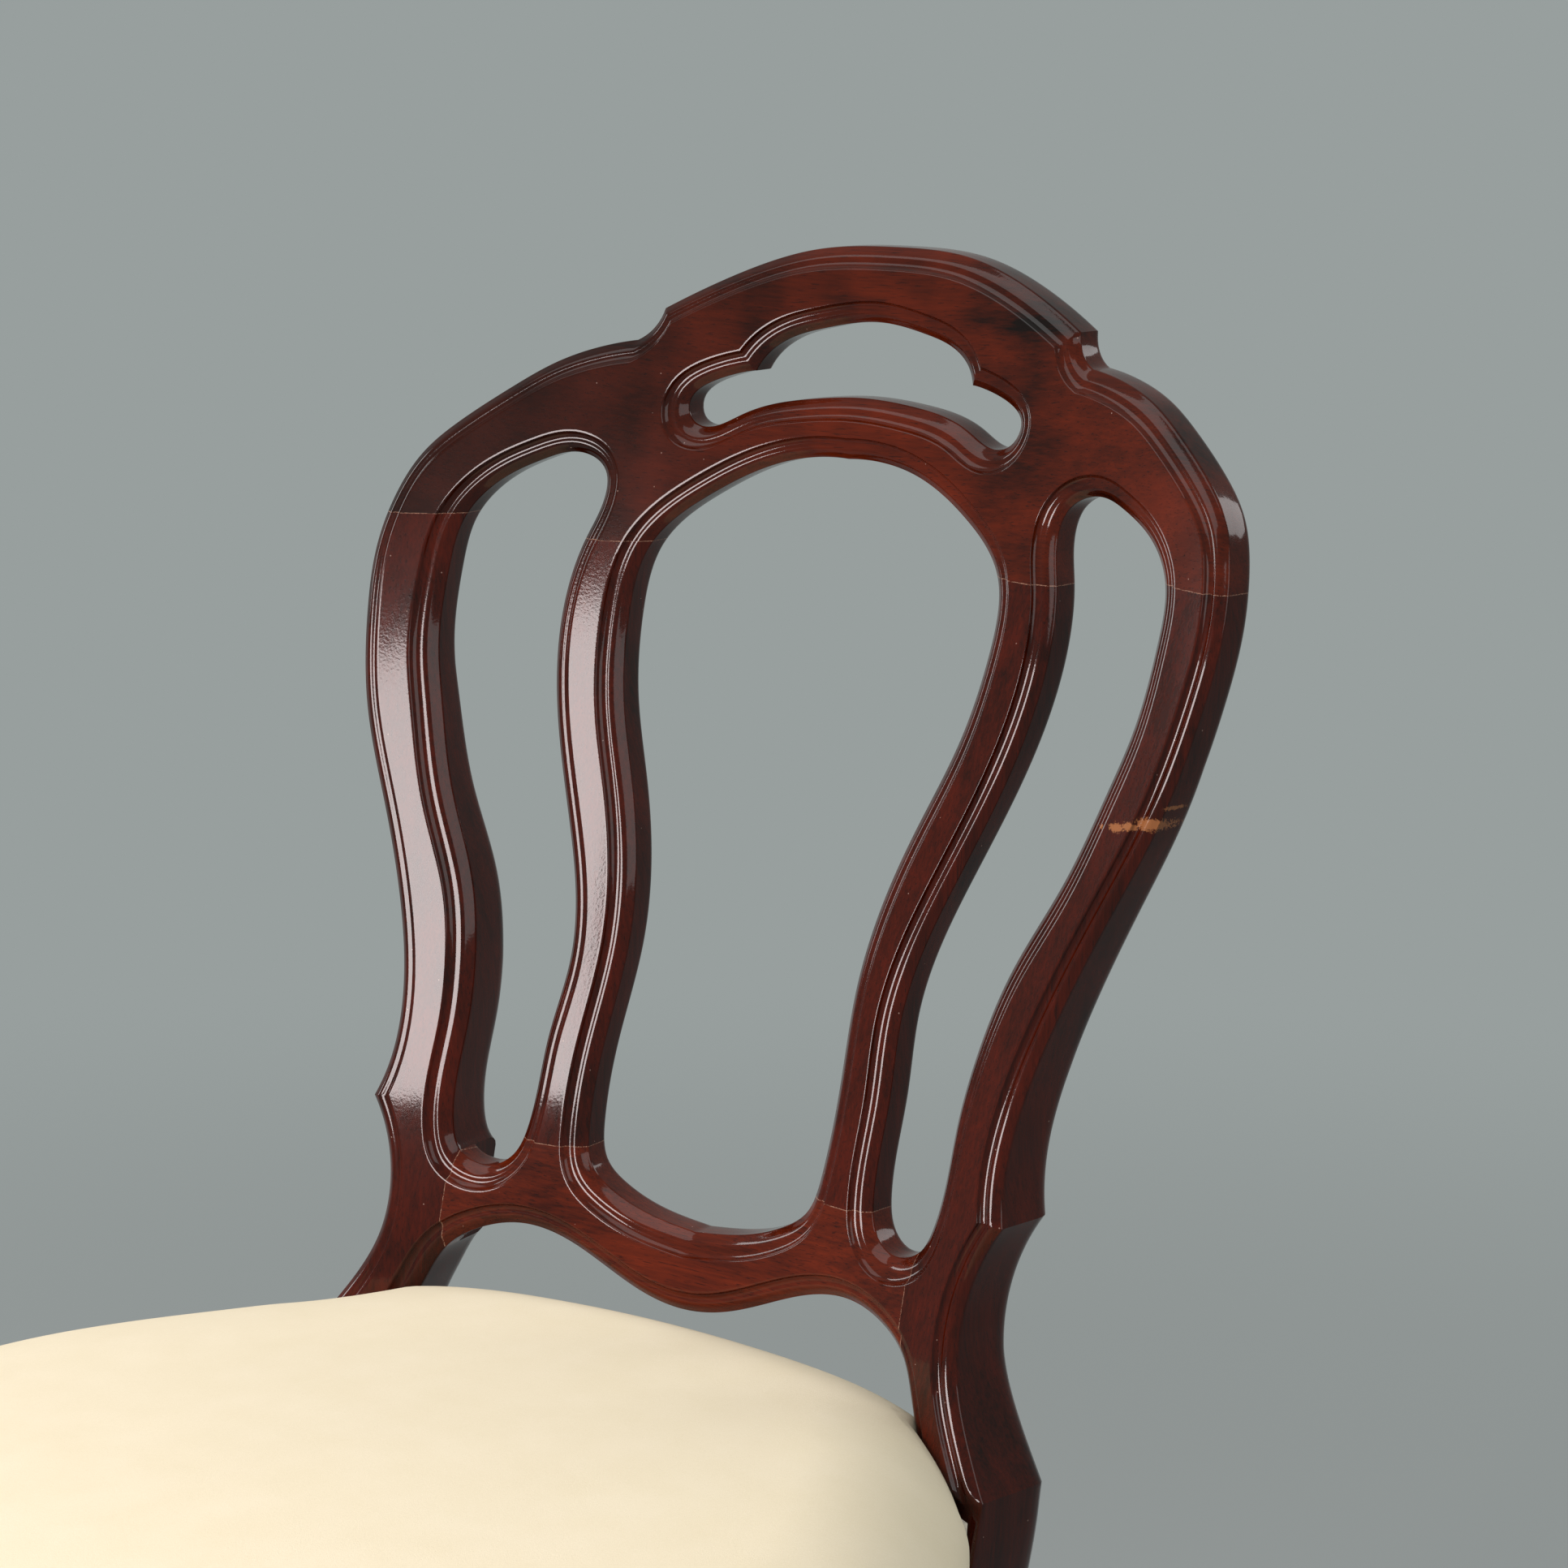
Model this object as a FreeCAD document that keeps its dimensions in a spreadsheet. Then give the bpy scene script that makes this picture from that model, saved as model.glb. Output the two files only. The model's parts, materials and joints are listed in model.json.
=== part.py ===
import FreeCAD, Part
import math
import os
from FreeCAD import Placement, Rotation, Vector

# Balloon back chair. X runs to the sitter's left, the seat faces -Y, Z is up from the floor.
# The origin is on the floor under the middle of the chair. Millimetres.

doc = FreeCAD.newDocument("BalloonBackChair")
sheet = doc.addObject("Spreadsheet::Sheet", "Sizes")

SIZES = {
    # the back, seen from the front
    "crest_top_height": 867,
    "stile_joint_drop": 108,
    "upright_joint_drop": 114.5,
    "stay_joint_height": 531,
    "ridge_drop": 81,
    "back_half_width": 195,
    "stile_width": 31,
    "waist_half_width": 143,
    "spur_half_width": 147,
    "ridge_half_width": 158,
    "seam_beside_upright": 30.3,
    "notch_half_width": 96.4,
    "upright_top_half_gap": 84,
    "upright_width": 28,
    "upright_waist_half_gap": 53.7,
    "upright_waist_width": 24,
    "cartouche_half_width": 77,
    "cartouche_top_drop": 28,
    # the back, seen from the side and from above
    "bow_radius": 482.6,
    "back_front_y": 171.6,
    "bend_start_height": 571.6,
    "bend_radius": 767,
    "back_rake": 19.65,
    "leg_rake": 17.5,
    "panel_depth": 12.5,
    "stile_depth": 25,
    "leg_depth": 36,
    "foot_depth": 28,
    "leg_width": 34,
    "moulding_width": 9,
    "moulding_rise": 5.5,
    "saw_depth": 1200,
    "room_above": 20,
    "room_below": 10,
    "bow_turn": 70,
    # dowels of the back
    "dowel_diameter": 7,
    "dowel_length": 36,
    "dowel_clearance": 0.1,
    # seat frame
    "rail_bottom_height": 374,
    "rail_height": 62,
    "rail_thickness": 24,
    "front_leg_block": 44,
    "front_leg_x": 185,
    "front_leg_y": -236,
    "side_rail_bow_x": 216,
    "side_rail_bow_y": -50,
    "side_rail_back_inset": 17,
    "front_rail_bow_y": -277.6,
    "back_rail_set_back": 5.4,
    "tenon_thickness": 12,
    "tenon_length": 18,
    "tenon_shoulder": 8,
    "joint_clearance": 0.15,
    "front_leg_block_bottom": 352,
    "front_leg_girth": 24,
    "front_leg_ankle": 14,
    "corner_block_leg": 44,
    "corner_block_height": 46,
    "screw_length": 42,
    "screw_diameter": 4,
    "screw_head_diameter": 8,
    # upholstery
    "web_width": 50,
    "web_thickness": 1.8,
    "web_pitch": 76,
    "web_pitch_crosswise": 108,
    "spring_radius": 33,
    "spring_wire": 3.6,
    "spring_pitch": 12,
    "seat_centre_y": -62,
    "hessian_thickness": 1.2,
    "cover_thickness": 2,
    "wadding_thickness": 9.4,
    "layer_gap": 0.3,
    "seat_crown_height": 487,
    "seat_edge_drop": 22,
    "seat_edge_radius": 24,
    "dust_cover_thickness": 0.8,
    "tack_head_diameter": 6,
    "tack_shank_diameter": 1.6,
    "tack_length": 9,
}

for row, (name, value) in enumerate(SIZES.items(), start=1):
    sheet.set("A" + str(row), name)
    sheet.set("B" + str(row), str(value))
    sheet.setAlias("B" + str(row), name)
doc.recompute()


def size(name):
    return float(getattr(sheet, name))


def bind(feature, prop, expression):
    feature.setExpression(prop, expression)


def origin_plane(body, role):
    for plane in body.Origin.OriginFeatures:
        if plane.Role == role:
            return plane


def mirrored(points):
    return [(-x, z) for x, z in reversed(points)]


def curve(points):
    spline = Part.BSplineCurve()
    spline.interpolate([Vector(x, z, 0) for x, z in points])
    return spline


def closed_curve(points):
    spline = Part.BSplineCurve()
    spline.interpolate(Points=[Vector(x, z, 0) for x, z in points], PeriodicFlag=True)
    return spline


def line(start, end):
    return Part.LineSegment(Vector(*start, 0), Vector(*end, 0))


def arc(start, middle, end):
    return Part.Arc(Vector(*start, 0), Vector(*middle, 0), Vector(*end, 0))


def polygon(points):
    return [line(a, b) for a, b in zip(points, points[1:] + points[:1])]


def sketch(body, name, role, geometry):
    made = body.newObject("Sketcher::SketchObject", name)
    made.AttachmentSupport = [(origin_plane(body, role), "")]
    made.MapMode = "FlatFace"
    for piece in geometry:
        made.addGeometry(piece, False)
    return made


def new_body(name):
    return doc.addObject("PartDesign::Body", name)


def pad(body, name, profile, length, midplane=False):
    feature = body.newObject("PartDesign::Pad", name)
    feature.Profile = profile
    feature.Midplane = midplane
    bind(feature, "Length", "Sizes." + length)
    profile.Visibility = False
    return feature


def front_view_pad(name, geometry):
    """A solid with the given outline seen from the front, deep enough for the whole chair."""
    body = new_body(name)
    profile = sketch(body, name + "_outline", "XZ_Plane", geometry)
    pad(body, name + "_depth", profile, "saw_depth", midplane=True)
    return body


def saw_through(body, name, geometry):
    """An opening of the given outline, seen from the front, cut right through a body."""
    profile = sketch(body, name + "_outline", "XZ_Plane", geometry)
    pocket = body.newObject("PartDesign::Pocket", name)
    pocket.Profile = profile
    pocket.Midplane = True
    bind(pocket, "Length", "Sizes.saw_depth")
    profile.Visibility = False
    return profile


def stations(piece, count):
    """Evenly spread parameters along a curve, with its two ends."""
    first, last = piece.FirstParameter, piece.LastParameter
    return [first + (last - first) * step / count for step in range(count + 1)]


def inset_point(piece, place, inset, beside=None):
    """A point of a curve moved to its left by an inset, or to the mitre with the curve beside it."""
    ahead = Vector(*piece.tangent(place)[0]).normalize()
    left = Vector(-ahead.y, ahead.x, 0)
    if beside is not None:
        other = Vector(*beside).normalize()
        left_of_other = Vector(-other.y, other.x, 0)
        left = (left + left_of_other) / (1 + left.dot(left_of_other))
    return piece.value(place) + left * inset


def inset_loop(loop, inset):
    """A closed outline with each curve moved to its left by an inset, mitred at the corners."""
    if len(loop) == 1:
        places = stations(loop[0], 2 * loop[0].NbPoles)[:-1]
        moved = Part.BSplineCurve()
        moved.interpolate(Points=[inset_point(loop[0], place, inset) for place in places], PeriodicFlag=True)
        return [moved]
    made = []
    for index, piece in enumerate(loop):
        before = loop[index - 1]
        after = loop[(index + 1) % len(loop)]
        count = 1 if piece.TypeId == "Part::GeomLineSegment" else 2 * getattr(piece, "NbPoles", 3)
        places = stations(piece, count)
        points = [inset_point(piece, place, inset) for place in places]
        points[0] = inset_point(piece, places[0], inset, before.tangent(before.LastParameter)[0])
        points[-1] = inset_point(piece, places[-1], inset, after.tangent(after.FirstParameter)[0])
        if count == 1:
            made.append(Part.LineSegment(*points))
        else:
            spline = Part.BSplineCurve()
            spline.interpolate(points)
            made.append(spline)
    return made


def turns_left(loop):
    """Whether a closed outline runs anticlockwise."""
    corners = [piece.value(place) for piece in loop for place in stations(piece, 6)[:-1]]
    return sum(a.x * b.y - b.x * a.y for a, b in zip(corners, corners[1:] + corners[:1])) > 0


def plan_pad(name, geometry, bottom, height):
    """A solid with the given outline seen from above, from one height up."""
    body = new_body(name)
    profile = sketch(body, name + "_outline", "XY_Plane", geometry)
    bind(profile, "AttachmentOffset.Base.z", bottom)
    pad(body, name + "_height", profile, height)
    return body


def common(name, first, second):
    made = doc.addObject("Part::Common", name)
    made.Base = first
    made.Tool = second
    return made


def cut(name, first, second):
    made = doc.addObject("Part::Cut", name)
    made.Base = first
    made.Tool = second
    return made


def fuse(name, shapes):
    made = doc.addObject("Part::MultiFuse", name)
    made.Shapes = shapes
    made.Refine = False
    return made


def group(name, shapes):
    made = doc.addObject("Part::Compound", name)
    made.Links = shapes
    return made


def box(name, expressions):
    """A box from expressions for x, y, z, its lengths Length, Width, Height."""
    made = doc.addObject("Part::Box", name)
    for prop, expression in zip(("Length", "Width", "Height"), expressions[3:]):
        bind(made, prop, expression)
    for axis, expression in zip("xyz", expressions[:3]):
        bind(made, "Placement.Base." + axis, expression)
    return made


def cylinder(name, radius, length, centre, direction):
    """A round bar whose middle lies at centre and which runs along direction."""
    made = doc.addObject("Part::Cylinder", name)
    bind(made, "Radius", radius)
    bind(made, "Height", length)
    turn = Rotation(Vector(0, 0, 1), direction)
    doc.recompute([made])
    half = turn.multVec(Vector(0, 0, made.Height.Value / 2))
    made.Placement = Placement(centre - half, turn)
    return made


# Side profile of the back

top = size("crest_top_height")
bend_z = size("bend_start_height")
rake = math.radians(size("back_rake"))
leg_rake = math.radians(size("leg_rake"))
bend_radius = size("bend_radius")
bend_r = size("bow_radius")
axis_y = size("back_front_y") - bend_r
above_top = top + size("room_above")
below_floor = -size("room_below")
stile_joint = top - size("stile_joint_drop")
upright_joint = top - size("upright_joint_drop")
stay_joint = size("stay_joint_height")
ridge = stay_joint - size("ridge_drop")

# how much the members between the joints are drawn out, 1 at the sizes above
stretch = (stile_joint - stay_joint) / 228
bend_end_z = bend_z - bend_radius * (math.sin(rake) + math.sin(leg_rake))


def front_radius(z):
    """How far the arris of the back's front face stands from the plan curve's centre, at a height."""
    if z >= bend_z:
        return bend_r + (z - bend_z) * math.tan(rake)
    if z >= bend_end_z:
        slope = math.asin(math.sin(rake) - (bend_z - z) / bend_radius)
        return bend_r - bend_radius * (math.cos(slope) - math.cos(rake))
    lowest = bend_r - bend_radius * (math.cos(leg_rake) - math.cos(rake))
    return lowest + (bend_end_z - z) * math.tan(leg_rake)


def front_y(x, z, behind=0):
    radius = front_radius(z) + behind
    return axis_y + math.sqrt(radius ** 2 - x ** 2)


def profile_point(z, behind):
    return (front_radius(z) + behind, z)


def side_profile(behind, lowest):
    """The back's side profile from above the crest down to a height, moved back by an offset."""
    above = profile_point(above_top, behind)
    bend_top = profile_point(bend_z, behind)
    if lowest > bend_end_z:
        middle = profile_point((bend_z + lowest) / 2, behind)
        return [line(above, bend_top), arc(bend_top, middle, profile_point(lowest, behind))]
    middle = profile_point((bend_z + bend_end_z) / 2, behind)
    bend_low = profile_point(bend_end_z, behind)
    foot = profile_point(lowest, behind)
    return [line(above, bend_top), arc(bend_top, middle, bend_low), line(bend_low, foot)]


# depth of the stile behind the arris, from the foot up to the thin crest
STILE_DEPTHS = [
    (0, size("foot_depth")),
    (ridge / 3, size("leg_depth") - 3),
    (ridge / 1.5, size("leg_depth")),
    (ridge - 50, size("leg_depth")),
    (ridge, size("leg_depth") - 4),
    (ridge + 40, size("stile_depth") + 2),
    (stay_joint, size("stile_depth")),
    (stay_joint + 59 * stretch, size("stile_depth") - 2),
    (stay_joint + 109 * stretch, size("stile_depth") - 6),
    (stile_joint - 59 * stretch, size("panel_depth") + 1.5),
    (stile_joint, size("panel_depth")),
    (above_top, size("panel_depth")),
]


def shell(name, near, rear, lowest):
    """The bowed and raked slab between two offsets behind the front arris, turned about the
    upright axis of the plan curve."""
    body = new_body(name)
    front = side_profile(near, lowest)
    if isinstance(rear, list):
        below = (lowest, rear[0][1])
        back = [curve([profile_point(z, depth) for z, depth in reversed([below] + rear)])]
    else:
        back = side_profile(rear, lowest)
    start = [line(tuple(front[0].StartPoint)[:2], tuple(back[0].StartPoint)[:2])]
    end = [line(tuple(front[-1].EndPoint)[:2], tuple(back[-1].EndPoint)[:2])]
    profile = sketch(body, name + "_profile", "YZ_Plane", front + back + start + end)
    turn = body.newObject("PartDesign::Revolution", name + "_bow")
    turn.Profile = profile
    turn.ReferenceAxis = (profile, ["V_Axis"])
    turn.Angle = size("bow_turn")
    turn.Midplane = True
    bind(body, "Placement.Base.y", "Sizes.back_front_y - Sizes.bow_radius")
    return body


# The back seen from the front: X from the centre line, Z from the floor

back_x = size("back_half_width")
waist_x = size("waist_half_width")
spur_x = size("spur_half_width")
ridge_x = size("ridge_half_width")
notch_x = size("notch_half_width")
gap_x = size("upright_top_half_gap")
gap_low_x = size("upright_waist_half_gap")
stile_in_x = back_x - size("stile_width")
upright_x = gap_x + size("upright_width")
upright_low_x = gap_low_x + size("upright_waist_width")
seam_x = upright_low_x + size("seam_beside_upright")

# how much the shoulder and the head of the side openings are drawn out sideways, 1 at the sizes above
across = (back_x - notch_x) / 98.6
head_across = (stile_in_x - upright_x + 6.5) / 58.5

crest_half = [(0, top), (35, top - 2.2), (69, top - 13), (notch_x, top - 26.5)]
notch_low = (notch_x + 9.1, top - 39)
shoulder = [
    notch_low,
    (notch_x + 24 * across, top - 42),
    (back_x - 56 * across, top - 49),
    (back_x - 40 * across, top - 59),
    (back_x - 22 * across, top - 72.5),
    (back_x - 10 * across, stile_joint + 23),
    (back_x - 3, stile_joint + 7),
    (back_x, stile_joint - 14 * stretch),
    (back_x - 2, stile_joint - 37 * stretch),
    (back_x - 11, stile_joint - 75 * stretch),
]
outer_edge = shoulder + [
    (waist_x + 25.5, stay_joint + 117 * stretch),
    (waist_x + 10.5, stay_joint + 81 * stretch),
    (waist_x + 1.5, stay_joint + 49 * stretch),
    (waist_x, stay_joint + 28 * stretch),
    (spur_x, stay_joint + 9),
]
flare = [
    (spur_x, stay_joint + 9),
    (spur_x - 10, stay_joint - 11),
    (spur_x - 12.7, stay_joint - 26),
    (spur_x - 11, stay_joint - 43),
    (spur_x - 5, ridge + 24),
    (ridge_x, ridge),
]
leg_outer = [(ridge_x, ridge), (ridge_x - 4, ridge - 50), (ridge_x - 8, ridge - 130),
             (ridge_x - 8, ridge - 250), (ridge_x, 0)]
leg_x = ridge_x - size("leg_width")
leg_inner = [
    (leg_x + 5, 0),
    (leg_x - 4, ridge - 340),
    (leg_x - 8, ridge - 230),
    (leg_x - 7, ridge - 130),
    (leg_x - 2, ridge - 50),
    (leg_x - 1, ridge - 12),
    (leg_x - 3, ridge + 8),
    (leg_x - 9, ridge + 23),
]
stay_under = [
    (seam_x - 0.6, stay_joint - 44),
    (seam_x - 12.5, stay_joint - 36),
    (77, stay_joint - 31.7),
    (58, stay_joint - 34.4),
    (36, stay_joint - 42.7),
    (18, stay_joint - 49),
    (0, stay_joint - 51.4),
]
under_edge = leg_inner + stay_under

crest_edge = mirrored(crest_half) + crest_half[1:]
notch_middle = (notch_x + 3, top - 34)
outer_loop = [
    curve(crest_edge),
    arc(crest_half[-1], notch_middle, notch_low),
    curve(outer_edge),
    curve(flare),
    curve(leg_outer),
    line(leg_outer[-1], leg_inner[0]),
    curve(under_edge + mirrored(under_edge)[1:]),
    line(mirrored(leg_inner)[-1], mirrored(leg_outer)[0]),
    curve(mirrored(leg_outer)),
    curve(mirrored(flare)),
    curve(mirrored(outer_edge)),
    arc(mirrored([notch_low])[0], mirrored([notch_middle])[0], mirrored(crest_half)[0]),
]

centre_half = [
    (0, upright_joint + 36),
    (30.7, upright_joint + 32.7),
    (60.3, upright_joint + 18.5),
    (gap_x - 2.5, upright_joint - 2),
    (gap_x, upright_joint - 27 * stretch),
    (gap_x - 6, upright_joint - 60 * stretch),
    (gap_low_x + 13, stay_joint + 131.5 * stretch),
    (gap_low_x + 3.8, stay_joint + 102 * stretch),
    (gap_low_x, stay_joint + 73 * stretch),
    (gap_low_x + 1.6, stay_joint + 40 * stretch),
    (gap_low_x + 1.1, stay_joint + 7.5),
    (gap_low_x - 2.7, stay_joint - 6),
    (41, stay_joint - 13.5),
    (20, stay_joint - 20.5),
    (0, stay_joint - 23),
]
centre_loop = [curve(centre_half), curve(mirrored(centre_half))]

side_inner = [
    (seam_x + 0.5, stay_joint - 7.6),
    (seam_x + 4.8, stay_joint + 1.2),
    (seam_x + 7, stay_joint + 17),
    (seam_x + 7, stay_joint + 38 * stretch),
    (seam_x + 9.8, stay_joint + 62.5 * stretch),
    (seam_x + 18, stay_joint + 91 * stretch),
    (seam_x + 34, stay_joint + 123 * stretch),
    (stile_in_x - 9 * head_across, stile_joint - 70 * stretch),
    (stile_in_x - 3 * head_across, stile_joint - 50 * stretch),
    (stile_in_x, stile_joint - 20),
    (stile_in_x - 2 * head_across, stile_joint - 1),
    (stile_in_x - 14 * head_across, stile_joint + 14),
    (stile_in_x - 29 * head_across, stile_joint + 22),
    (stile_in_x - 43 * head_across, stile_joint + 25.5),
]
side_outer = [
    side_inner[-1],
    (upright_x - 5, upright_joint + 25),
    (upright_x - 6.5, upright_joint + 14),
    (upright_x - 2.5, upright_joint),
    (upright_x + 0.8, upright_joint - 22),
    (upright_x - 1.5, upright_joint - 47 * stretch),
    (upright_x - 9, upright_joint - 74 * stretch),
    (upright_low_x + 11, stay_joint + 111 * stretch),
    (upright_low_x + 4, stay_joint + 91 * stretch),
    (upright_low_x, stay_joint + 66 * stretch),
    (upright_low_x + 2.3, stay_joint + 38 * stretch),
    (upright_low_x + 3.6, stay_joint + 4),
    (upright_low_x + 7.4, stay_joint - 6.5),
    (upright_low_x + 16, stay_joint - 12),
    (upright_low_x + 24, stay_joint - 11.5),
]
side_edge = side_inner + side_outer[1:]
side_loop = [closed_curve(side_edge)]
side_loop_left = [closed_curve(mirrored(side_edge))]

lobe_x = size("cartouche_half_width")
cart_top = top - size("cartouche_top_drop")
cusp = (lobe_x - 26.6, cart_top - 20.4)
lobe_half = [
    (0, cart_top - 28),
    (24, cart_top - 29.7),
    (lobe_x - 24.5, cart_top - 36.8),
    (lobe_x - 8.5, cart_top - 42.3),
    (lobe_x - 2, cart_top - 39.3),
    (lobe_x, cart_top - 33),
    (lobe_x - 8, cart_top - 25.4),
    cusp,
]
arch_half = [cusp, (lobe_x - 32, cart_top - 12.2), (lobe_x - 41, cart_top - 6.8), (24, cart_top - 3.4), (0, cart_top)]
cartouche_loop = [
    curve(mirrored(lobe_half) + lobe_half[1:]),
    curve(arch_half + mirrored(arch_half)[1:]),
]

back_outline = front_view_pad("back_outline", outer_loop)
openings = {
    "centre_opening": centre_loop,
    "side_opening_right": side_loop,
    "side_opening_left": side_loop_left,
    "cartouche": cartouche_loop,
}
for name, loop in openings.items():
    saw_through(back_outline, name, loop)

# the raised flat field, in from every edge by the width of the moulding
moulding = size("moulding_width")
field_block = front_view_pad("field_block", inset_loop(outer_loop, moulding if turns_left(outer_loop) else -moulding))
for name, loop in openings.items():
    inset = -moulding if turns_left(loop) else moulding
    saw_through(field_block, "field_" + name, inset_loop(loop, inset))

thin_shell = shell("thin_shell", 0, size("panel_depth"), below_floor)
deep_shell = shell("deep_shell", 0, STILE_DEPTHS, below_floor)
raised_shell = shell("raised_shell", -size("moulding_rise"), size("panel_depth") / 4, ridge)

thin_form = common("thin_form", back_outline, thin_shell)
deep_form = common("deep_form", back_outline, deep_shell)
raised_form = common("raised_form", field_block, raised_shell)

side_middle_x = stile_in_x - 27 * head_across
below_side_x = upright_low_x + 20.3
zone_side = back_x + size("room_above")
crest_zone = front_view_pad("crest_zone", polygon([
    (-zone_side, stile_joint), (-side_middle_x, stile_joint), (-side_middle_x, upright_joint),
    (side_middle_x, upright_joint), (side_middle_x, stile_joint), (zone_side, stile_joint),
    (zone_side, above_top), (-zone_side, above_top)]))
stay_zone = front_view_pad("stay_zone", polygon([
    (-seam_x, ridge), (seam_x, ridge), (seam_x, stay_joint), (-seam_x, stay_joint)]))


def right_and_left(points, side):
    return [(side * x, z) for x, z in points]


between_low = (below_side_x, stay_joint + 69 * stretch)
between_high = (side_middle_x, stile_joint - 59 * stretch)
stile_zone_points = [(seam_x, below_floor), (seam_x, stay_joint), (below_side_x, stay_joint + 14 * stretch), between_low,
                     between_high, (side_middle_x, stile_joint), (zone_side, stile_joint), (zone_side, below_floor)]
upright_zone_points = [(0, stay_joint), (below_side_x, stay_joint), between_low, between_high,
                       (side_middle_x, upright_joint), (0, upright_joint)]


def back_piece(name, zone, form):
    """The part of the back inside a zone: the flat body and the raised field with its moulded step."""
    flat = common(name + "_flat", zone, form)
    raised = common(name + "_raised", zone, raised_form)
    return fuse(name + "_blank", [flat, raised])


crest_blank = back_piece("crest_rail", crest_zone, thin_form)
stay_blank = back_piece("stay_rail", stay_zone, thin_form)
stile_blanks = {}
upright_blanks = {}
HANDS = {"left": 1, "right": -1}
for hand, side in HANDS.items():
    stile_zone = front_view_pad("stile_zone_" + hand, polygon(right_and_left(stile_zone_points, side)))
    upright_zone = front_view_pad("upright_zone_" + hand, polygon(right_and_left(upright_zone_points, side)))
    stile_blanks[hand] = back_piece("stile_leg_" + hand, stile_zone, deep_form)
    upright_blanks[hand] = back_piece("upright_" + hand, upright_zone, thin_form)

# Dowels of the back

dowel_set_back = size("panel_depth") / 2 - 0.8


def upright_direction(x, z):
    """The way the back climbs at a place, leaning to the rear and not to the side."""
    radius = front_radius(z)
    lean = math.tan(rake) * radius / math.sqrt(radius ** 2 - x ** 2)
    return Vector(0, lean, 1)


def crosswise_direction(x, z):
    """The way the back's plan curve runs at a place."""
    radius = front_radius(z)
    return Vector(math.sqrt(radius ** 2 - x ** 2), -x, 0)


def dowel_pair(name, x, z, way):
    """Dowels and their holes, the same on both sides of the chair."""
    bars = []
    holes = []
    for hand, side in HANDS.items():
        centre = Vector(side * x, front_y(x, z, dowel_set_back), z)
        direction = way(side * x, z)
        bars.append(cylinder(name + "_" + hand, "Sizes.dowel_diameter / 2", "Sizes.dowel_length", centre, direction))
        holes.append(cylinder(name + "_hole_" + hand, "Sizes.dowel_diameter / 2 + Sizes.dowel_clearance",
                              "Sizes.dowel_length + 2 * Sizes.dowel_clearance", centre, direction))
    return bars, holes


stile_mid_x = back_x - size("stile_width") / 2 - 2
upright_mid_x = upright_x - 2.5 - size("upright_width") / 2 + 1
upright_low_mid_x = (gap_low_x + upright_low_x) / 2
crest_stile_dowels, crest_stile_holes = dowel_pair("crest_stile_dowel", stile_mid_x, stile_joint, upright_direction)
crest_upright_dowels, crest_upright_holes = dowel_pair("crest_upright_dowel", upright_mid_x, upright_joint,
                                                       upright_direction)
stay_upright_dowels, stay_upright_holes = dowel_pair("stay_upright_dowel", upright_low_mid_x, stay_joint,
                                                     upright_direction)
stay_stile_dowels, stay_stile_holes = dowel_pair("stay_stile_dowel", seam_x, stay_joint - 26, crosswise_direction)

crest_dowels = group("crest_dowels", crest_stile_dowels)
upright_dowels = group("upright_dowels", crest_upright_dowels + stay_upright_dowels)
stay_rail_dowels = group("stay_rail_dowels", stay_stile_dowels)
all_dowel_holes = crest_stile_holes + crest_upright_holes + stay_upright_holes + stay_stile_holes

# Seat frame: rails sawn to the curve of the seat, tenoned into the legs

rail_bottom = size("rail_bottom_height")
crown = size("seat_crown_height")
rail_thick = size("rail_thickness")
leg_half = size("front_leg_block") / 2
front_x = size("front_leg_x")
front_leg_y = size("front_leg_y")
tenon = size("tenon_length")
tenon_thick = size("tenon_thickness")
outer_x = front_x + leg_half
inner_x = front_x - leg_half
front_face_y = front_leg_y - leg_half
rear_face_y = front_leg_y + leg_half


def circle_through(first, second, third):
    """Centre and radius of the circle through three plan points."""
    found = Part.Circle(Vector(*first, 0), Vector(*second, 0), Vector(*third, 0))
    return found.Center, found.Radius


side_back_x = ridge_x - size("side_rail_back_inset")
side_back = (side_back_x, front_y(side_back_x, ridge))
side_bow = (size("side_rail_bow_x"), size("side_rail_bow_y"))
side_centre, side_radius = circle_through(side_back, side_bow, (outer_x, rear_face_y))
front_centre, front_radius_plan = circle_through(
    (-inner_x, front_face_y), (0, size("front_rail_bow_y")), (inner_x, front_face_y))


def side_rail_x(y, inset=0):
    return side_centre.x + math.sqrt((side_radius - inset) ** 2 - (y - side_centre.y) ** 2)


def front_rail_y(x, inset=0):
    return front_centre.y - math.sqrt((front_radius_plan - inset) ** 2 - (x - front_centre.x) ** 2)


def plan_arc(place, start, end, inset):
    middle = (start + end) / 2
    return [place(start, inset), place(middle, inset), place(end, inset)]


def side_at(y, inset):
    return (side_rail_x(y, inset), y)


def front_at(x, inset):
    return (x, front_rail_y(x, inset))


def strip_outline(place, start, end, thick):
    """Plan outline of a curved rail between two places along its run."""
    outer = plan_arc(place, start, end, 0)
    inner = plan_arc(place, end, start, thick)
    return [arc(*outer), line(outer[2], inner[0]), arc(*inner), line(inner[2], outer[0])]


def flip(points, side):
    return [(side * x, y) for x, y in points]


def plan_box(name, low, high, bottom, tall, grow=0):
    """A box between two plan corners, from one height up, made larger by a clearance."""
    made = doc.addObject("Part::Box", name)
    made.Length = abs(high[0] - low[0]) + 2 * grow
    made.Width = abs(high[1] - low[1]) + 2 * grow
    made.Height = tall + 2 * grow
    corner = Vector(min(low[0], high[0]) - grow, min(low[1], high[1]) - grow, bottom - grow)
    made.Placement = Placement(corner, Rotation())
    return made


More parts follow.
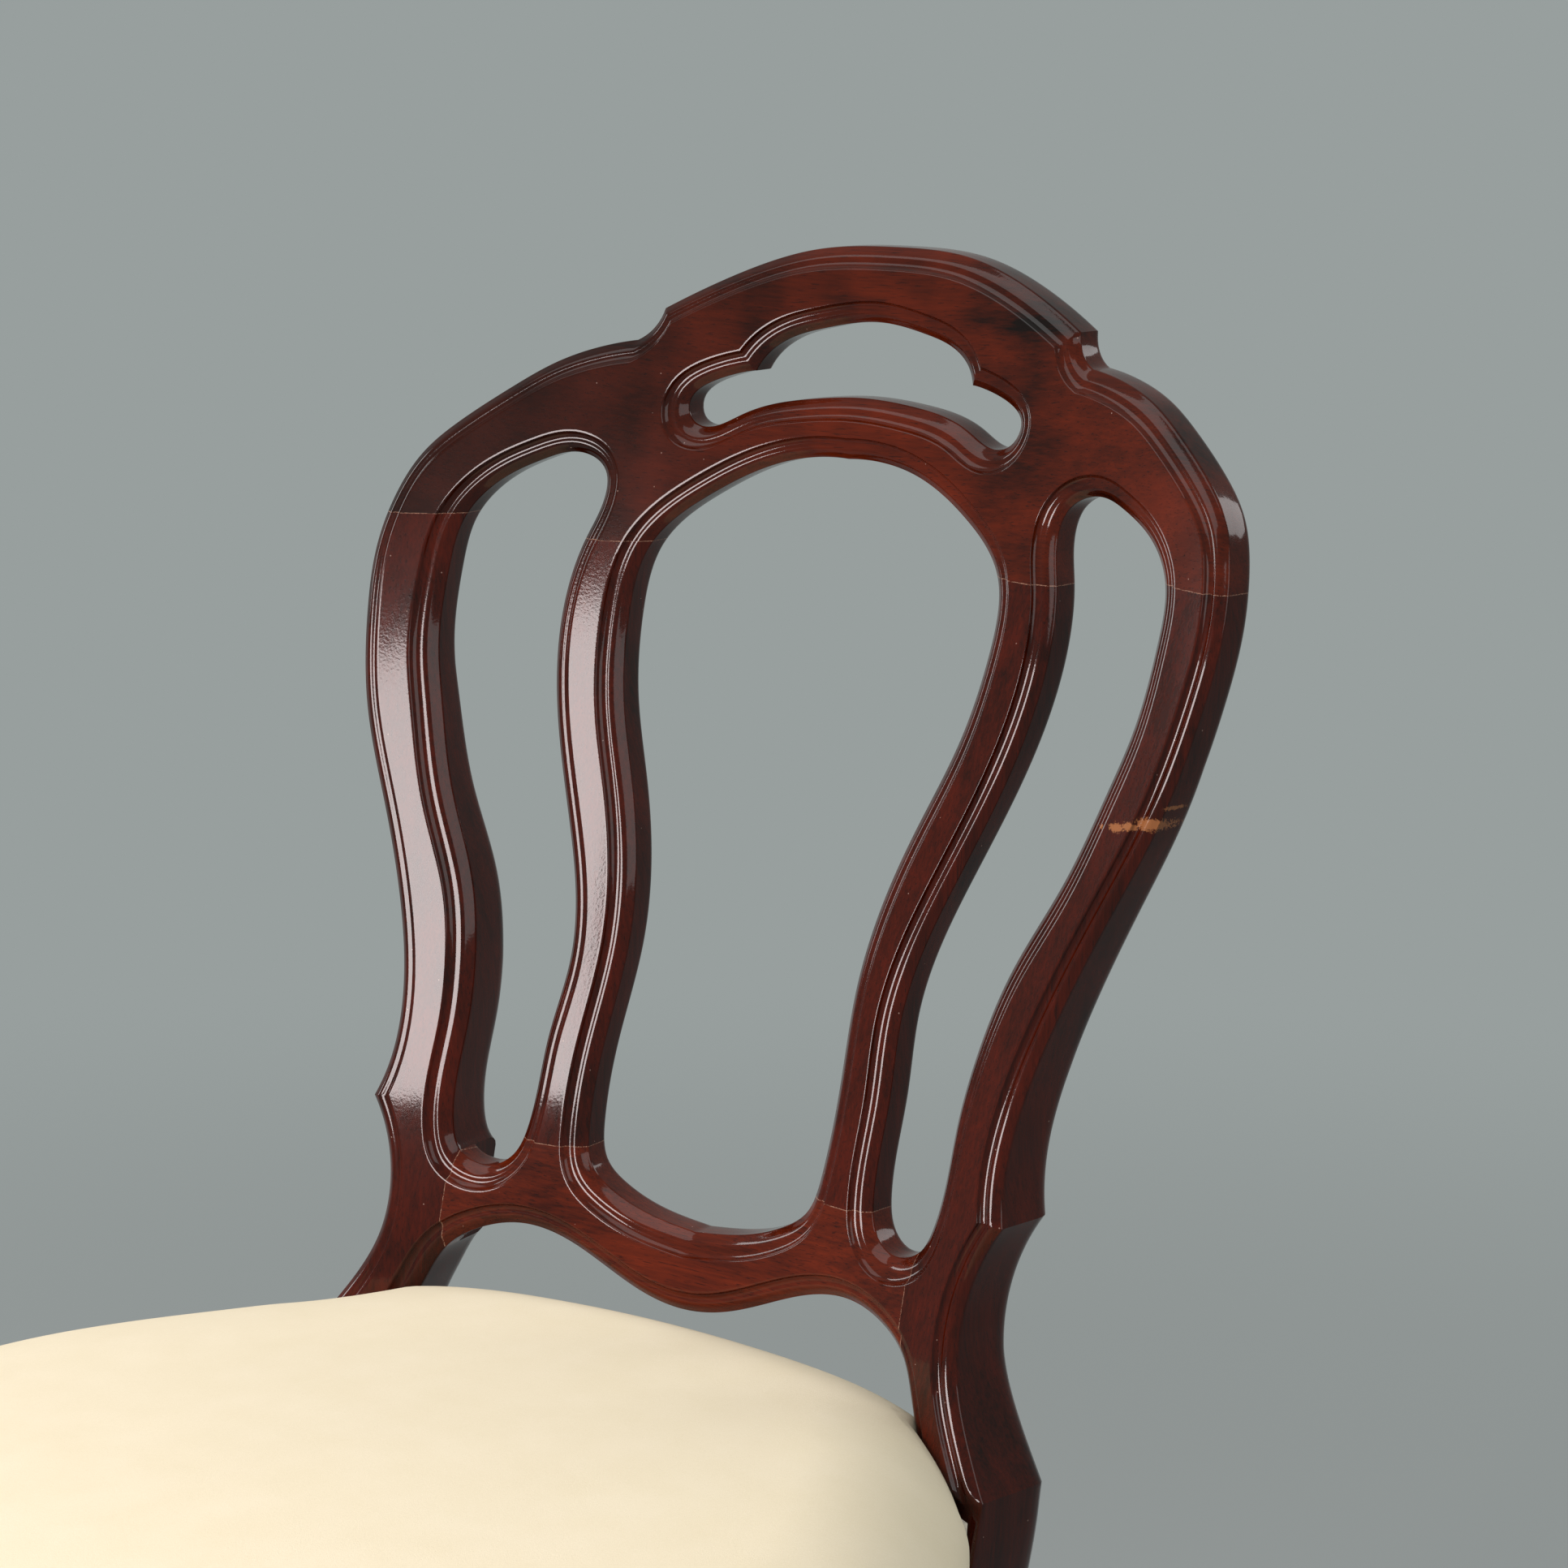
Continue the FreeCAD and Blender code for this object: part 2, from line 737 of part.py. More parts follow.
tenon_bottom = rail_bottom + size("tenon_shoulder")
tenon_tall = size("rail_height") - 2 * size("tenon_shoulder")
fit = size("joint_clearance")
side_tenon_x = outer_x - rail_thick / 2 - 1
front_tenon_y = front_face_y + rail_thick / 2 + 1
back_tenon_x = side_back_x - 8
back_rail_y = front_y(leg_x, ridge) + size("back_rail_set_back")
back_rail_mid_y = back_rail_y + rail_thick / 2
back_rail_x = leg_x - 4
back_tenon_thick = tenon_thick * 0.6

# tenons, by their two plan corners on the sitter's left
TENONS = {
    "side_front": ((side_tenon_x - tenon_thick / 2, rear_face_y + 6),
                   (side_tenon_x + tenon_thick / 2, rear_face_y - tenon)),
    "side_back": ((back_tenon_x - tenon_thick / 2, side_back[1] - 12),
                  (back_tenon_x + tenon_thick / 2, side_back[1] + tenon)),
    "front": ((inner_x - 6, front_tenon_y - tenon_thick / 2), (inner_x + tenon, front_tenon_y + tenon_thick / 2)),
    "back": ((back_rail_x - 6, back_rail_mid_y - back_tenon_thick / 2 + 2),
             (back_rail_x + tenon - 4, back_rail_mid_y + back_tenon_thick / 2 + 2)),
}


def tenon_box(name, which, side, grow=0):
    low, high = TENONS[which]
    (low_x, low_y), (high_x, high_y) = low, high
    return plan_box(name, (side * low_x, low_y), (side * high_x, high_y), tenon_bottom, tenon_tall, grow)


leg_clear = shell("leg_clear", -size("layer_gap"), 90, below_floor)


def clear_of_legs(name, inner):
    """The room the back legs take, from their front faces back and from a distance off the middle out."""
    zones = []
    for hand, side in HANDS.items():
        zone = plan_box(name + "_zone_" + hand, (side * inner, side_back[1] - 60),
                        (side * zone_side, side_back[1] + 120), rail_bottom - 70, crown - rail_bottom + 130)
        zones.append(common(name + "_" + hand, zone, leg_clear))
    return zones


back_legs_clear = group("back_legs_clear", clear_of_legs("back_leg_clear", back_rail_x - fit))
rail_ends_clear = clear_of_legs("rail_end_clear", back_rail_x / 2)

rail_pieces = {}
for hand, side in HANDS.items():
    blank = plan_pad(
        "side_rail_blank_" + hand,
        [arc(*flip(plan_arc(side_at, rear_face_y, side_back[1] + 16, 0), side)),
         line(*flip([side_at(side_back[1] + 16, 0), side_at(side_back[1] + 16, rail_thick)], side)),
         arc(*flip(plan_arc(side_at, side_back[1] + 16, rear_face_y, rail_thick), side)),
         line(*flip([side_at(rear_face_y, rail_thick), side_at(rear_face_y, 0)], side))],
        "Sizes.rail_bottom_height", "rail_height")
    trimmed = cut("side_rail_trimmed_" + hand, blank, rail_ends_clear[0 if side == 1 else 1])
    rail_pieces["seat_rail_" + hand] = fuse("side_rail_tenoned_" + hand, [
        trimmed, tenon_box("side_front_tenon_" + hand, "side_front", side),
        tenon_box("side_back_tenon_" + hand, "side_back", side)])

front_blank = plan_pad("front_rail_blank", strip_outline(front_at, -inner_x, inner_x, rail_thick),
                       "Sizes.rail_bottom_height", "rail_height")
rail_pieces["seat_rail_front"] = fuse("front_rail_tenoned", [
    front_blank, tenon_box("front_tenon_left", "front", 1), tenon_box("front_tenon_right", "front", -1)])
back_blank = box("back_rail_blank", [str(-back_rail_x), str(back_rail_y), "Sizes.rail_bottom_height",
                                     str(2 * back_rail_x), "Sizes.rail_thickness", "Sizes.rail_height"])
rail_pieces["seat_rail_back"] = fuse("back_rail_tenoned", [
    back_blank, tenon_box("back_tenon_left", "back", 1), tenon_box("back_tenon_right", "back", -1)])

# Front legs: a square block for the rails over a turned and tapered leg

block_low = size("front_leg_block_bottom")
girth = size("front_leg_girth")
ankle = size("front_leg_ankle")
front_legs = {}
for hand, side in HANDS.items():
    body = new_body("front_leg_turned_" + hand)
    profile = sketch(body, "front_leg_profile_" + hand, "XZ_Plane", [
        line((0, 0), (ankle - 2, 0)),
        line((ankle - 2, 0), (ankle, 3)),
        arc((ankle, 3), (ankle + 2.5, 16), (ankle, 30)),
        line((ankle, 30), (ankle - 1, 36)),
        curve([(ankle - 1, 36), (ankle + 1.5, block_low / 3), (girth - 4, block_low - 112), (girth - 2, block_low - 76)]),
        line((girth - 2, block_low - 76), (girth - 2, block_low - 70)),
        arc((girth - 2, block_low - 70), (girth + 1, block_low - 63), (girth - 2, block_low - 56)),
        line((girth - 2, block_low - 56), (girth - 6, block_low - 52)),
        arc((girth - 6, block_low - 52), (girth - 8, block_low - 41), (girth - 6, block_low - 30)),
        line((girth - 6, block_low - 30), (girth - 2, block_low - 26)),
        arc((girth - 2, block_low - 26), (girth + 0.5, block_low - 19), (girth - 2, block_low - 12)),
        line((girth - 2, block_low - 12), (girth - 3, block_low + 1)),
        line((girth - 3, block_low + 1), (0, block_low + 1)),
        line((0, block_low + 1), (0, 0)),
    ])
    turning = body.newObject("PartDesign::Revolution", "front_leg_turning_" + hand)
    turning.Profile = profile
    turning.ReferenceAxis = (profile, ["V_Axis"])
    turning.Angle = 360
    corner = [(-leg_half, -leg_half), (leg_half, -leg_half), (leg_half, leg_half), (-leg_half, leg_half)]
    square = sketch(body, "front_leg_square_" + hand, "XY_Plane", polygon(corner))
    bind(square, "AttachmentOffset.Base.z", "Sizes.front_leg_block_bottom")
    block = body.newObject("PartDesign::Pad", "front_leg_block_" + hand)
    block.Profile = square
    bind(block, "Length", "Sizes.rail_bottom_height + Sizes.rail_height - Sizes.front_leg_block_bottom")
    bind(body, "Placement.Base.x", ("" if side == 1 else "-") + "Sizes.front_leg_x")
    bind(body, "Placement.Base.y", "Sizes.front_leg_y")
    front_legs[hand] = cut("front_leg_mortised_" + hand, body, group("front_leg_mortises_" + hand, [
        tenon_box("side_front_mortise_" + hand, "side_front", side, fit),
        tenon_box("front_mortise_" + hand, "front", side, fit)]))

# Corner blocks, glued and screwed inside the corners of the frame

block_height = size("corner_block_height")
block_bottom = rail_bottom + (size("rail_height") - block_height) / 2
block_reach = size("corner_block_leg")
gap = size("layer_gap")
corner_blocks = {}
screws = []
screw_ways = {}
screw_z = block_bottom + block_height / 2
for hand, side in HANDS.items():
    front_y_at = front_rail_y(inner_x - block_reach, rail_thick) + gap
    side_y = rear_face_y + block_reach
    front_points = [
        (inner_x, rear_face_y), (inner_x, front_rail_y(inner_x, rail_thick) + gap),
        (inner_x - block_reach, front_y_at + 0.5), (inner_x - block_reach, front_y_at + 8),
        (side_rail_x(side_y, rail_thick) - gap - 8, side_y), (side_rail_x(side_y, rail_thick) - gap - 0.5, side_y),
        (side_rail_x(rear_face_y, rail_thick) - gap, rear_face_y)]
    front_block = plan_pad("corner_block_front_plan_" + hand, polygon(flip(front_points, side)),
                           str(block_bottom), "corner_block_height")
    corner_x = side_rail_x(back_rail_y, rail_thick) - gap
    side_low = back_rail_y - block_reach
    side_low_x = side_rail_x(side_low, rail_thick) - gap - 0.5
    back_points = [
        (corner_x - block_reach, back_rail_y), (corner_x, back_rail_y), (side_low_x, side_low),
        (side_low_x - 8, side_low), (corner_x - block_reach, back_rail_y - 8)]
    back_block = plan_pad("corner_block_back_plan_" + hand, polygon(flip(back_points, side)),
                          str(block_bottom), "corner_block_height")
    for place, block, entry, way in (
            ("front", front_block, (inner_x - 18, rear_face_y + 18), (1, -1)),
            ("back", back_block, (corner_x - 14, back_rail_y - 23), (0, 1))):
        direction = Vector(side * way[0], way[1], 0).normalize()
        head = Vector(side * entry[0], entry[1], screw_z)
        middle = head + direction * (size("screw_length") / 2)
        shank = cylinder("screw_shank_" + place + "_" + hand, "Sizes.screw_diameter / 2", "Sizes.screw_length",
                         middle, direction)
        head_bar = cylinder("screw_head_" + place + "_" + hand, "Sizes.screw_head_diameter / 2",
                            "Sizes.screw_diameter", head, direction)
        hole = cylinder("screw_hole_" + place + "_" + hand, "Sizes.screw_diameter / 2 + Sizes.dowel_clearance",
                        "Sizes.screw_length + 0.4", middle, direction)
        sink = cylinder("screw_sink_" + place + "_" + hand, "Sizes.screw_head_diameter / 2 + Sizes.dowel_clearance",
                        "Sizes.front_leg_block", head - direction * (size("front_leg_block") / 2 - 2.1), direction)
        screws.append(fuse("screw_" + place + "_" + hand, [shank, head_bar]))
        way_cut = fuse("screw_way_" + place + "_" + hand, [hole, sink])
        screw_ways[place + "_" + hand] = way_cut
        corner_blocks["corner_block_" + place + "_" + hand] = (block, way_cut)

# Seat layers, from the plan of the rails moved out by a layer's offset

rail_top = rail_bottom + size("rail_height")
corner_inset = 18
back_face_y = back_rail_y + rail_thick


def seat_plan(offset, rounded):
    """Plan outline of the seat, out from the rails by an offset, with or without round front corners."""
    side_start = (side_rail_x(rear_face_y, -offset), rear_face_y)
    side_end = (side_rail_x(side_back[1], -offset), side_back[1])
    side_middle_y = (rear_face_y + side_back[1]) / 2
    side_middle = (side_rail_x(side_middle_y, -offset), side_middle_y)
    corner_start = (outer_x - corner_inset, front_face_y - offset)
    corner_end = (outer_x + offset, front_face_y + corner_inset)
    turn = (corner_inset + offset) * math.sqrt(0.5)
    corner_middle = (outer_x - corner_inset + turn, front_face_y + corner_inset - turn)
    rear_y = back_face_y + offset / 3
    bow = (0, size("front_rail_bow_y") - offset)
    outline = [arc((-corner_start[0], corner_start[1]), bow, corner_start)]
    for side in (1, -1):
        if rounded:
            turned = [arc(*flip([corner_start, corner_middle, corner_end], side))]
        else:
            corner = (corner_end[0], corner_start[1])
            turned = [line(*flip([corner_start, corner], side)), line(*flip([corner, corner_end], side))]
        outline += turned
        outline.append(line(*flip([corner_end, side_start], side)))
        outline.append(arc(*flip([side_start, side_middle, side_end], side)))
        outline.append(line(*flip([side_end, (side_end[0], rear_y)], side)))
    outline.append(line((side_end[0], rear_y), (-side_end[0], rear_y)))
    return outline


def dome(name, offset, bottom, crown, edge_radius=0):
    """A domed pad over the seat plan, with its upper edge rounded off where a radius is given."""
    tall = crown - bottom + 20
    body = new_body(name + "_plan")
    profile = sketch(body, name + "_outline", "XY_Plane", seat_plan(offset, True))
    profile.AttachmentOffset = Placement(Vector(0, 0, bottom), Rotation())
    block = body.newObject("PartDesign::Pad", name + "_block")
    block.Profile = profile
    block.Length = tall
    drop = size("seat_edge_drop")
    reach = size("side_rail_bow_x")
    ball = doc.addObject("Part::Sphere", name + "_ball")
    ball.Radius = (reach ** 2 + drop ** 2) / (2 * drop)
    ball.Placement = Placement(Vector(0, size("seat_centre_y"), crown - ball.Radius.Value), Rotation())
    cap = common(name + "_cap", body, ball)
    if edge_radius == 0:
        return cap
    doc.recompute()
    rim = [
        (index, edge_radius, edge_radius)
        for index, edge in enumerate(cap.Shape.Edges, start=1)
        if min(vertex.Z for vertex in edge.Vertexes) > rail_top and abs(edge.Vertexes[0].Z - edge.Vertexes[-1].Z) < 20
        and edge.BoundBox.YMin < side_back[1] - 5
    ]
    rounded_cap = doc.addObject("Part::Fillet", name + "_rounded")
    rounded_cap.Base = cap
    rounded_cap.Edges = rim
    return rounded_cap


cover = size("cover_thickness")
edge_radius = size("seat_edge_radius")
cover_out = size("wadding_thickness") + size("layer_gap") + cover + gap
web_thick = size("web_thickness")
dust_thick = size("dust_cover_thickness")
hem = rail_bottom - 2 * web_thick - dust_thick
hessian_top = rail_top + size("hessian_thickness")
stuffing_crown = crown - cover - 2 * gap - size("wadding_thickness")

stuffing_inset = 6

cover_outer = dome("cover_outer", cover_out, hem, crown, edge_radius)
cover_inner = dome("cover_inner", cover_out - cover, hem - 5, crown - cover, edge_radius - cover)
wadding_outer = dome("wadding_outer", cover_out - cover - gap, rail_bottom, crown - cover - gap, edge_radius - cover - gap)
stuffing_blank = dome("stuffing_blank", -stuffing_inset, hessian_top, stuffing_crown)
stuffing_clear = dome("stuffing_clear", gap - stuffing_inset, hessian_top, stuffing_crown + gap)


def seat_sheet(name, offset, bottom, thick):
    body = new_body(name + "_plan")
    profile = sketch(body, name + "_outline", "XY_Plane", seat_plan(offset, False))
    profile.AttachmentOffset = Placement(Vector(0, 0, bottom), Rotation())
    block = body.newObject("PartDesign::Pad", name + "_block")
    block.Profile = profile
    block.Length = thick
    return body


frame_clear = seat_sheet("frame_clear", gap, rail_bottom - 5, hessian_top + gap - rail_bottom + 5)
wadding_clear = fuse("wadding_clear", [frame_clear, stuffing_clear])
hessian_blank = seat_sheet("hessian_blank", -3, rail_top, size("hessian_thickness"))
dust_blank = seat_sheet("dust_cover_blank", -6, hem, dust_thick)
front_legs_clear = group("front_legs_clear", [
    plan_box("front_leg_clear_" + hand, (side * inner_x, rear_face_y), (side * outer_x, front_face_y),
             rail_bottom - 70, 100, fit)
    for hand, side in HANDS.items()])

# Webbing, woven flat under the rails, and the springs that stand on its crossings

web_pitch_x = size("web_pitch")
web_pitch_y = size("web_pitch_crosswise")
web_half = size("web_width") / 2
web_columns = [-web_pitch_x, 0, web_pitch_x]
web_rows = [size("seat_centre_y") + step * web_pitch_y for step in (-1, 0, 1)]
web_hold = 4
lengthwise = [
    plan_box("web_lengthwise_" + str(column), (x - web_half, front_face_y - web_hold),
             (x + web_half, back_face_y - web_hold), rail_bottom - web_thick, web_thick)
    for column, x in enumerate(web_columns)]
crosswise = []
for row, y in enumerate(web_rows):
    reach = min(side_rail_x(y - web_half), side_rail_x(y + web_half)) - web_hold
    crosswise.append(plan_box("web_crosswise_" + str(row), (-reach, y - web_half), (reach, y + web_half),
                              rail_bottom - 2 * web_thick, web_thick))

# each spring is a chain of half rings, tilted in turn, and stands on every second crossing
ring_tilt = math.degrees(math.atan(size("spring_pitch") / 4 / size("spring_radius")))
half_rings = int((size("rail_height") - size("spring_wire") - 2 * gap) / size("spring_pitch") * 2)
springs = []
for row, y in enumerate(web_rows):
    for column, x in enumerate(web_columns):
        if (row + column) % 2:
            continue
        mark = str(row) + "_" + str(column)
        rings = []
        for step in range(half_rings):
            ring = doc.addObject("Part::Torus", "spring_ring_" + mark + "_" + str(step))
            bind(ring, "Radius1", "sqrt(Sizes.spring_radius ^ 2 + (Sizes.spring_pitch / 4) ^ 2)")
            bind(ring, "Radius2", "Sizes.spring_wire / 2")
            ring.Angle3 = 180
            height = rail_bottom + size("spring_wire") / 2 + gap + size("spring_pitch") * (0.25 + step / 2)
            half_turn = Rotation(Vector(0, 0, 1), 90 + 180 * (step % 2))
            ring.Placement = Placement(Vector(x, y, height), half_turn * Rotation(Vector(0, 1, 0), ring_tilt))
            rings.append(ring)
        springs.append(fuse("spring_" + mark, rings))

# Tacks that hold the dust cover to the rails, clear of the webbing

tack_places = []
for x in (web_pitch_x / 2, web_pitch_x * 1.5):
    tack_places += [(x, front_rail_y(x, rail_thick / 2)), (-x, front_rail_y(x, rail_thick / 2))]
    if x < back_rail_x - 10:
        tack_places += [(x, back_rail_y + rail_thick / 2), (-x, back_rail_y + rail_thick / 2)]
for y in (size("seat_centre_y") - web_pitch_y / 2, size("seat_centre_y") + web_pitch_y / 2):
    tack_places += [(side_rail_x(y, rail_thick / 2), y), (-side_rail_x(y, rail_thick / 2), y)]
tacks = []
tack_holes = []
for count, (x, y) in enumerate(tack_places):
    head_middle = Vector(x, y, hem - 0.5)
    shank_middle = Vector(x, y, hem + size("tack_length") / 2)
    head = cylinder("tack_head_" + str(count), "Sizes.tack_head_diameter / 2", "1 mm", head_middle, Vector(0, 0, 1))
    shank = cylinder("tack_shank_" + str(count), "Sizes.tack_shank_diameter / 2", "Sizes.tack_length",
                     shank_middle, Vector(0, 0, 1))
    tacks.append(fuse("tack_" + str(count), [head, shank]))
    tack_holes.append(cylinder("tack_hole_" + str(count), "Sizes.tack_shank_diameter / 2 + Sizes.dowel_clearance",
                               "Sizes.tack_length + 2 * Sizes.dowel_clearance", shank_middle, Vector(0, 0, 1)))
tack_ways = group("tack_ways", tack_holes)

# The finished pieces, one node each

NODES = {
    "crest_rail": cut("crest_rail", crest_blank, group("crest_holes", crest_stile_holes + crest_upright_holes)),
    "stay_rail": cut("stay_rail", stay_blank, group("stay_holes", stay_upright_holes + stay_stile_holes)),
    "crest_dowels": crest_dowels,
    "upright_dowels": upright_dowels,
    "stay_rail_dowels": stay_rail_dowels,
    "corner_block_screws": group("corner_block_screws", screws),
    "webbing_lengthwise": group("webbing_lengthwise", lengthwise),
    "webbing_crosswise": group("webbing_crosswise", crosswise),
    "seat_springs": group("seat_springs", springs),
    "hessian": cut("hessian", hessian_blank, back_legs_clear),
    "hair_stuffing": cut("hair_stuffing", stuffing_blank, back_legs_clear),
    "wadding": cut("wadding", cut("wadding_shell", wadding_outer, wadding_clear), back_legs_clear),
    "seat_cover": cut("seat_cover", cut("seat_cover_shell", cover_outer, cover_inner), back_legs_clear),
    "dust_cover": cut("dust_cover", cut("dust_cover_cut", dust_blank, back_legs_clear),
                      group("dust_cover_holes", [front_legs_clear, tack_ways])),
    "dust_cover_tacks": group("dust_cover_tacks", tacks),
}
for index, (hand, side) in enumerate(HANDS.items()):
    NODES["upright_" + hand] = cut("upright_" + hand, upright_blanks[hand], group(
        "upright_holes_" + hand, [crest_upright_holes[index], stay_upright_holes[index]]))
    NODES["stile_leg_" + hand] = cut("stile_leg_" + hand, stile_blanks[hand], group("stile_holes_" + hand, [
        crest_stile_holes[index], stay_stile_holes[index],
        tenon_box("side_back_mortise_" + hand, "side_back", side, fit),
        tenon_box("back_mortise_" + hand, "back", side, fit)]))
    NODES["front_leg_" + hand] = cut("front_leg_" + hand, front_legs[hand], screw_ways["front_" + hand])
rail_pieces["seat_rail_back"] = cut("back_rail_bored", rail_pieces["seat_rail_back"], group("back_screw_ways", [
    screw_ways["back_left"], screw_ways["back_right"]]))
for name, piece in rail_pieces.items():
    NODES[name] = cut(name, piece, tack_ways)
for name, (block, way_cut) in corner_blocks.items():
    NODES[name] = cut(name, block, way_cut)

doc.recompute()
failed = [made.Name for made in doc.Objects if "Invalid" in made.State or "Error" in made.State]
broken = [name for name, piece in NODES.items() if piece.Shape.isNull() or not piece.Shape.isValid()]
print("failed:", failed, "broken:", broken)
if failed or broken:
    raise SystemExit("the chair did not build: " + ", ".join(failed + broken))
os.makedirs("parts", exist_ok=True)
for name, piece in NODES.items():
    piece.Label = name
    piece.Shape.exportStep("parts/" + name + ".step")
    print(name, len(piece.Shape.Solids), round(piece.Shape.Volume))
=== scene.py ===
import bpy
import json
import math
import numpy as np
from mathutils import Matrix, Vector
from mathutils.geometry import delaunay_2d_cdt


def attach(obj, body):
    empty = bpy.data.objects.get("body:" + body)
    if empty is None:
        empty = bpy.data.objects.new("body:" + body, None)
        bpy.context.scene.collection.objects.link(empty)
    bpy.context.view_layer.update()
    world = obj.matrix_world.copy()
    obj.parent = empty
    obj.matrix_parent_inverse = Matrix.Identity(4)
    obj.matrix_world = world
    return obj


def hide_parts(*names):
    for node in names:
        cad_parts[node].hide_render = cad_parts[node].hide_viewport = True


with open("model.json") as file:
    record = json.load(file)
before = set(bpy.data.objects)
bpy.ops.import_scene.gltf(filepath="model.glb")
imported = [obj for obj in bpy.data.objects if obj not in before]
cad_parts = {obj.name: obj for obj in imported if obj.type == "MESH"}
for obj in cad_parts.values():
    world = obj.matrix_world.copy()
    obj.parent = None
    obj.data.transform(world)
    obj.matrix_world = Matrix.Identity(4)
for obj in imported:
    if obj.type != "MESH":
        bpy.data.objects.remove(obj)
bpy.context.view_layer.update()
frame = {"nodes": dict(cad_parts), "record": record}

mm = 0.001
print("balloon back chair: frame loaded")


# Fair curves through points, in millimetres: x across the chair, z up

def endSlope(t, p):
    # slope at the start of a line of points, from a polynomial through the first four
    n = min(4, len(t))
    return np.array([np.polyfit(t[:n] - t[0], p[:n, axis], n - 1)[-2] for axis in (0, 1)])


def fairCurve(points, spacing, closed=False):
    # points along a smooth curve, and its unit direction at each
    p = np.array(list(points) + list(points[:1]) if closed else points, float)
    t = np.concatenate([[0], np.cumsum(np.hypot(*np.diff(p, axis=0).T))])
    h = np.diff(t)[:, None]
    n = len(p)
    rise = np.diff(p, axis=0) / h
    a, r = np.zeros((n, n)), np.zeros((n, 2))
    for i in range(1, n - 1):
        a[i, i - 1:i + 2] = 1 / h[i - 1, 0], 2 / h[i - 1, 0] + 2 / h[i, 0], 1 / h[i, 0]
        r[i] = 3 * (rise[i - 1] / h[i - 1] + rise[i] / h[i])
    if closed:
        a[0, 0], a[0, -1] = 1, -1
        a[-1, 0], a[-1, 1], a[-1, -1], a[-1, -2] = 2 / h[0, 0], 1 / h[0, 0], 2 / h[-1, 0], 1 / h[-1, 0]
        r[-1] = 3 * (rise[0] / h[0] + rise[-1] / h[-1])
    else:
        a[0, 0] = a[-1, -1] = 1
        r[0] = endSlope(t, p)
        r[-1] = -endSlope((t[-1] - t)[::-1], p[::-1])
    slope = np.linalg.solve(a, r)
    u = np.linspace(0, t[-1], max(3, int(t[-1] / spacing)) + 1)
    k = np.clip(np.searchsorted(t, u, "right") - 1, 0, n - 2)
    w = ((u - t[k]) / h[k, 0])[:, None]
    hk = h[k]
    placed = ((1 + 2 * w) * (1 - w) ** 2 * p[k] + w * (1 - w) ** 2 * hk * slope[k]
              + w ** 2 * (3 - 2 * w) * p[k + 1] + w ** 2 * (w - 1) * hk * slope[k + 1])
    ahead = (6 * w * (w - 1) * (p[k] - p[k + 1]) / hk + (1 - w) * (1 - 3 * w) * slope[k]
             + w * (3 * w - 2) * slope[k + 1])
    return placed, ahead / np.linalg.norm(ahead, axis=1)[:, None]


def mirrored(points):
    return [(-x, z) for x, z in reversed(points)]


# The back's side profile: a bowed surface turned about an upright axis in front of the chair

backForm = {
    "axisY": -311, "bendRadius": 767, "bendZ": 571.6, "bendR": 482.6,
    "rake": math.radians(19.65), "legRake": math.radians(17.5),
    "panelDepth": 12.5, "wallTurn": 0.5,  # how far a wall turns from straight back to square on the bow
    "turnZ": (380, 440), "reliefZ": (444, 454),  # heights over which that turn and the relief set in
    "stileDepths": [(0, 28), (150, 33), (300, 36), (400, 36), (450, 32), (490, 27), (531, 25), (590, 23),
                    (640, 19), (700, 14), (759, 12.5), (900, 12.5)],
}


def frontRadius(z):
    f = backForm
    z = np.asarray(z, float)
    bendEnd = f["bendZ"] - f["bendRadius"] * (math.sin(f["rake"]) + math.sin(f["legRake"]))
    sine = math.sin(f["rake"]) - (f["bendZ"] - z) / f["bendRadius"]
    slope = np.arcsin(np.clip(sine, -math.sin(f["legRake"]), 1))
    bent = f["bendR"] - f["bendRadius"] * (np.cos(slope) - math.cos(f["rake"]))
    low = bent + (bendEnd - z) * math.tan(f["legRake"])
    high = f["bendR"] + (z - f["bendZ"]) * math.tan(f["rake"])
    return np.where(z >= f["bendZ"], high, np.where(z >= bendEnd, bent, low))


def smooth(value, low, high):
    w = np.clip((value - low) / (high - low), 0, 1)
    return w * w * (3 - 2 * w)


def onBack(x, z, t, depth):
    # from the flat board (x, z, and t behind the arris) to the bowed and raked chair back, in metres
    f = backForm
    behind = np.where(t < 0, t * smooth(z, *f["reliefZ"]), t / f["panelDepth"] * depth)
    turn = f["wallTurn"] * smooth(z, *f["turnZ"]) * np.maximum(behind, 0) / frontRadius(z)
    x = x * (1 + turn)
    y = f["axisY"] + np.sqrt((frontRadius(z) + behind) ** 2 - x ** 2)
    return np.stack([x, y, z], axis=1) * mm


# Outline of the back from the front, as a fretsaw cuts it

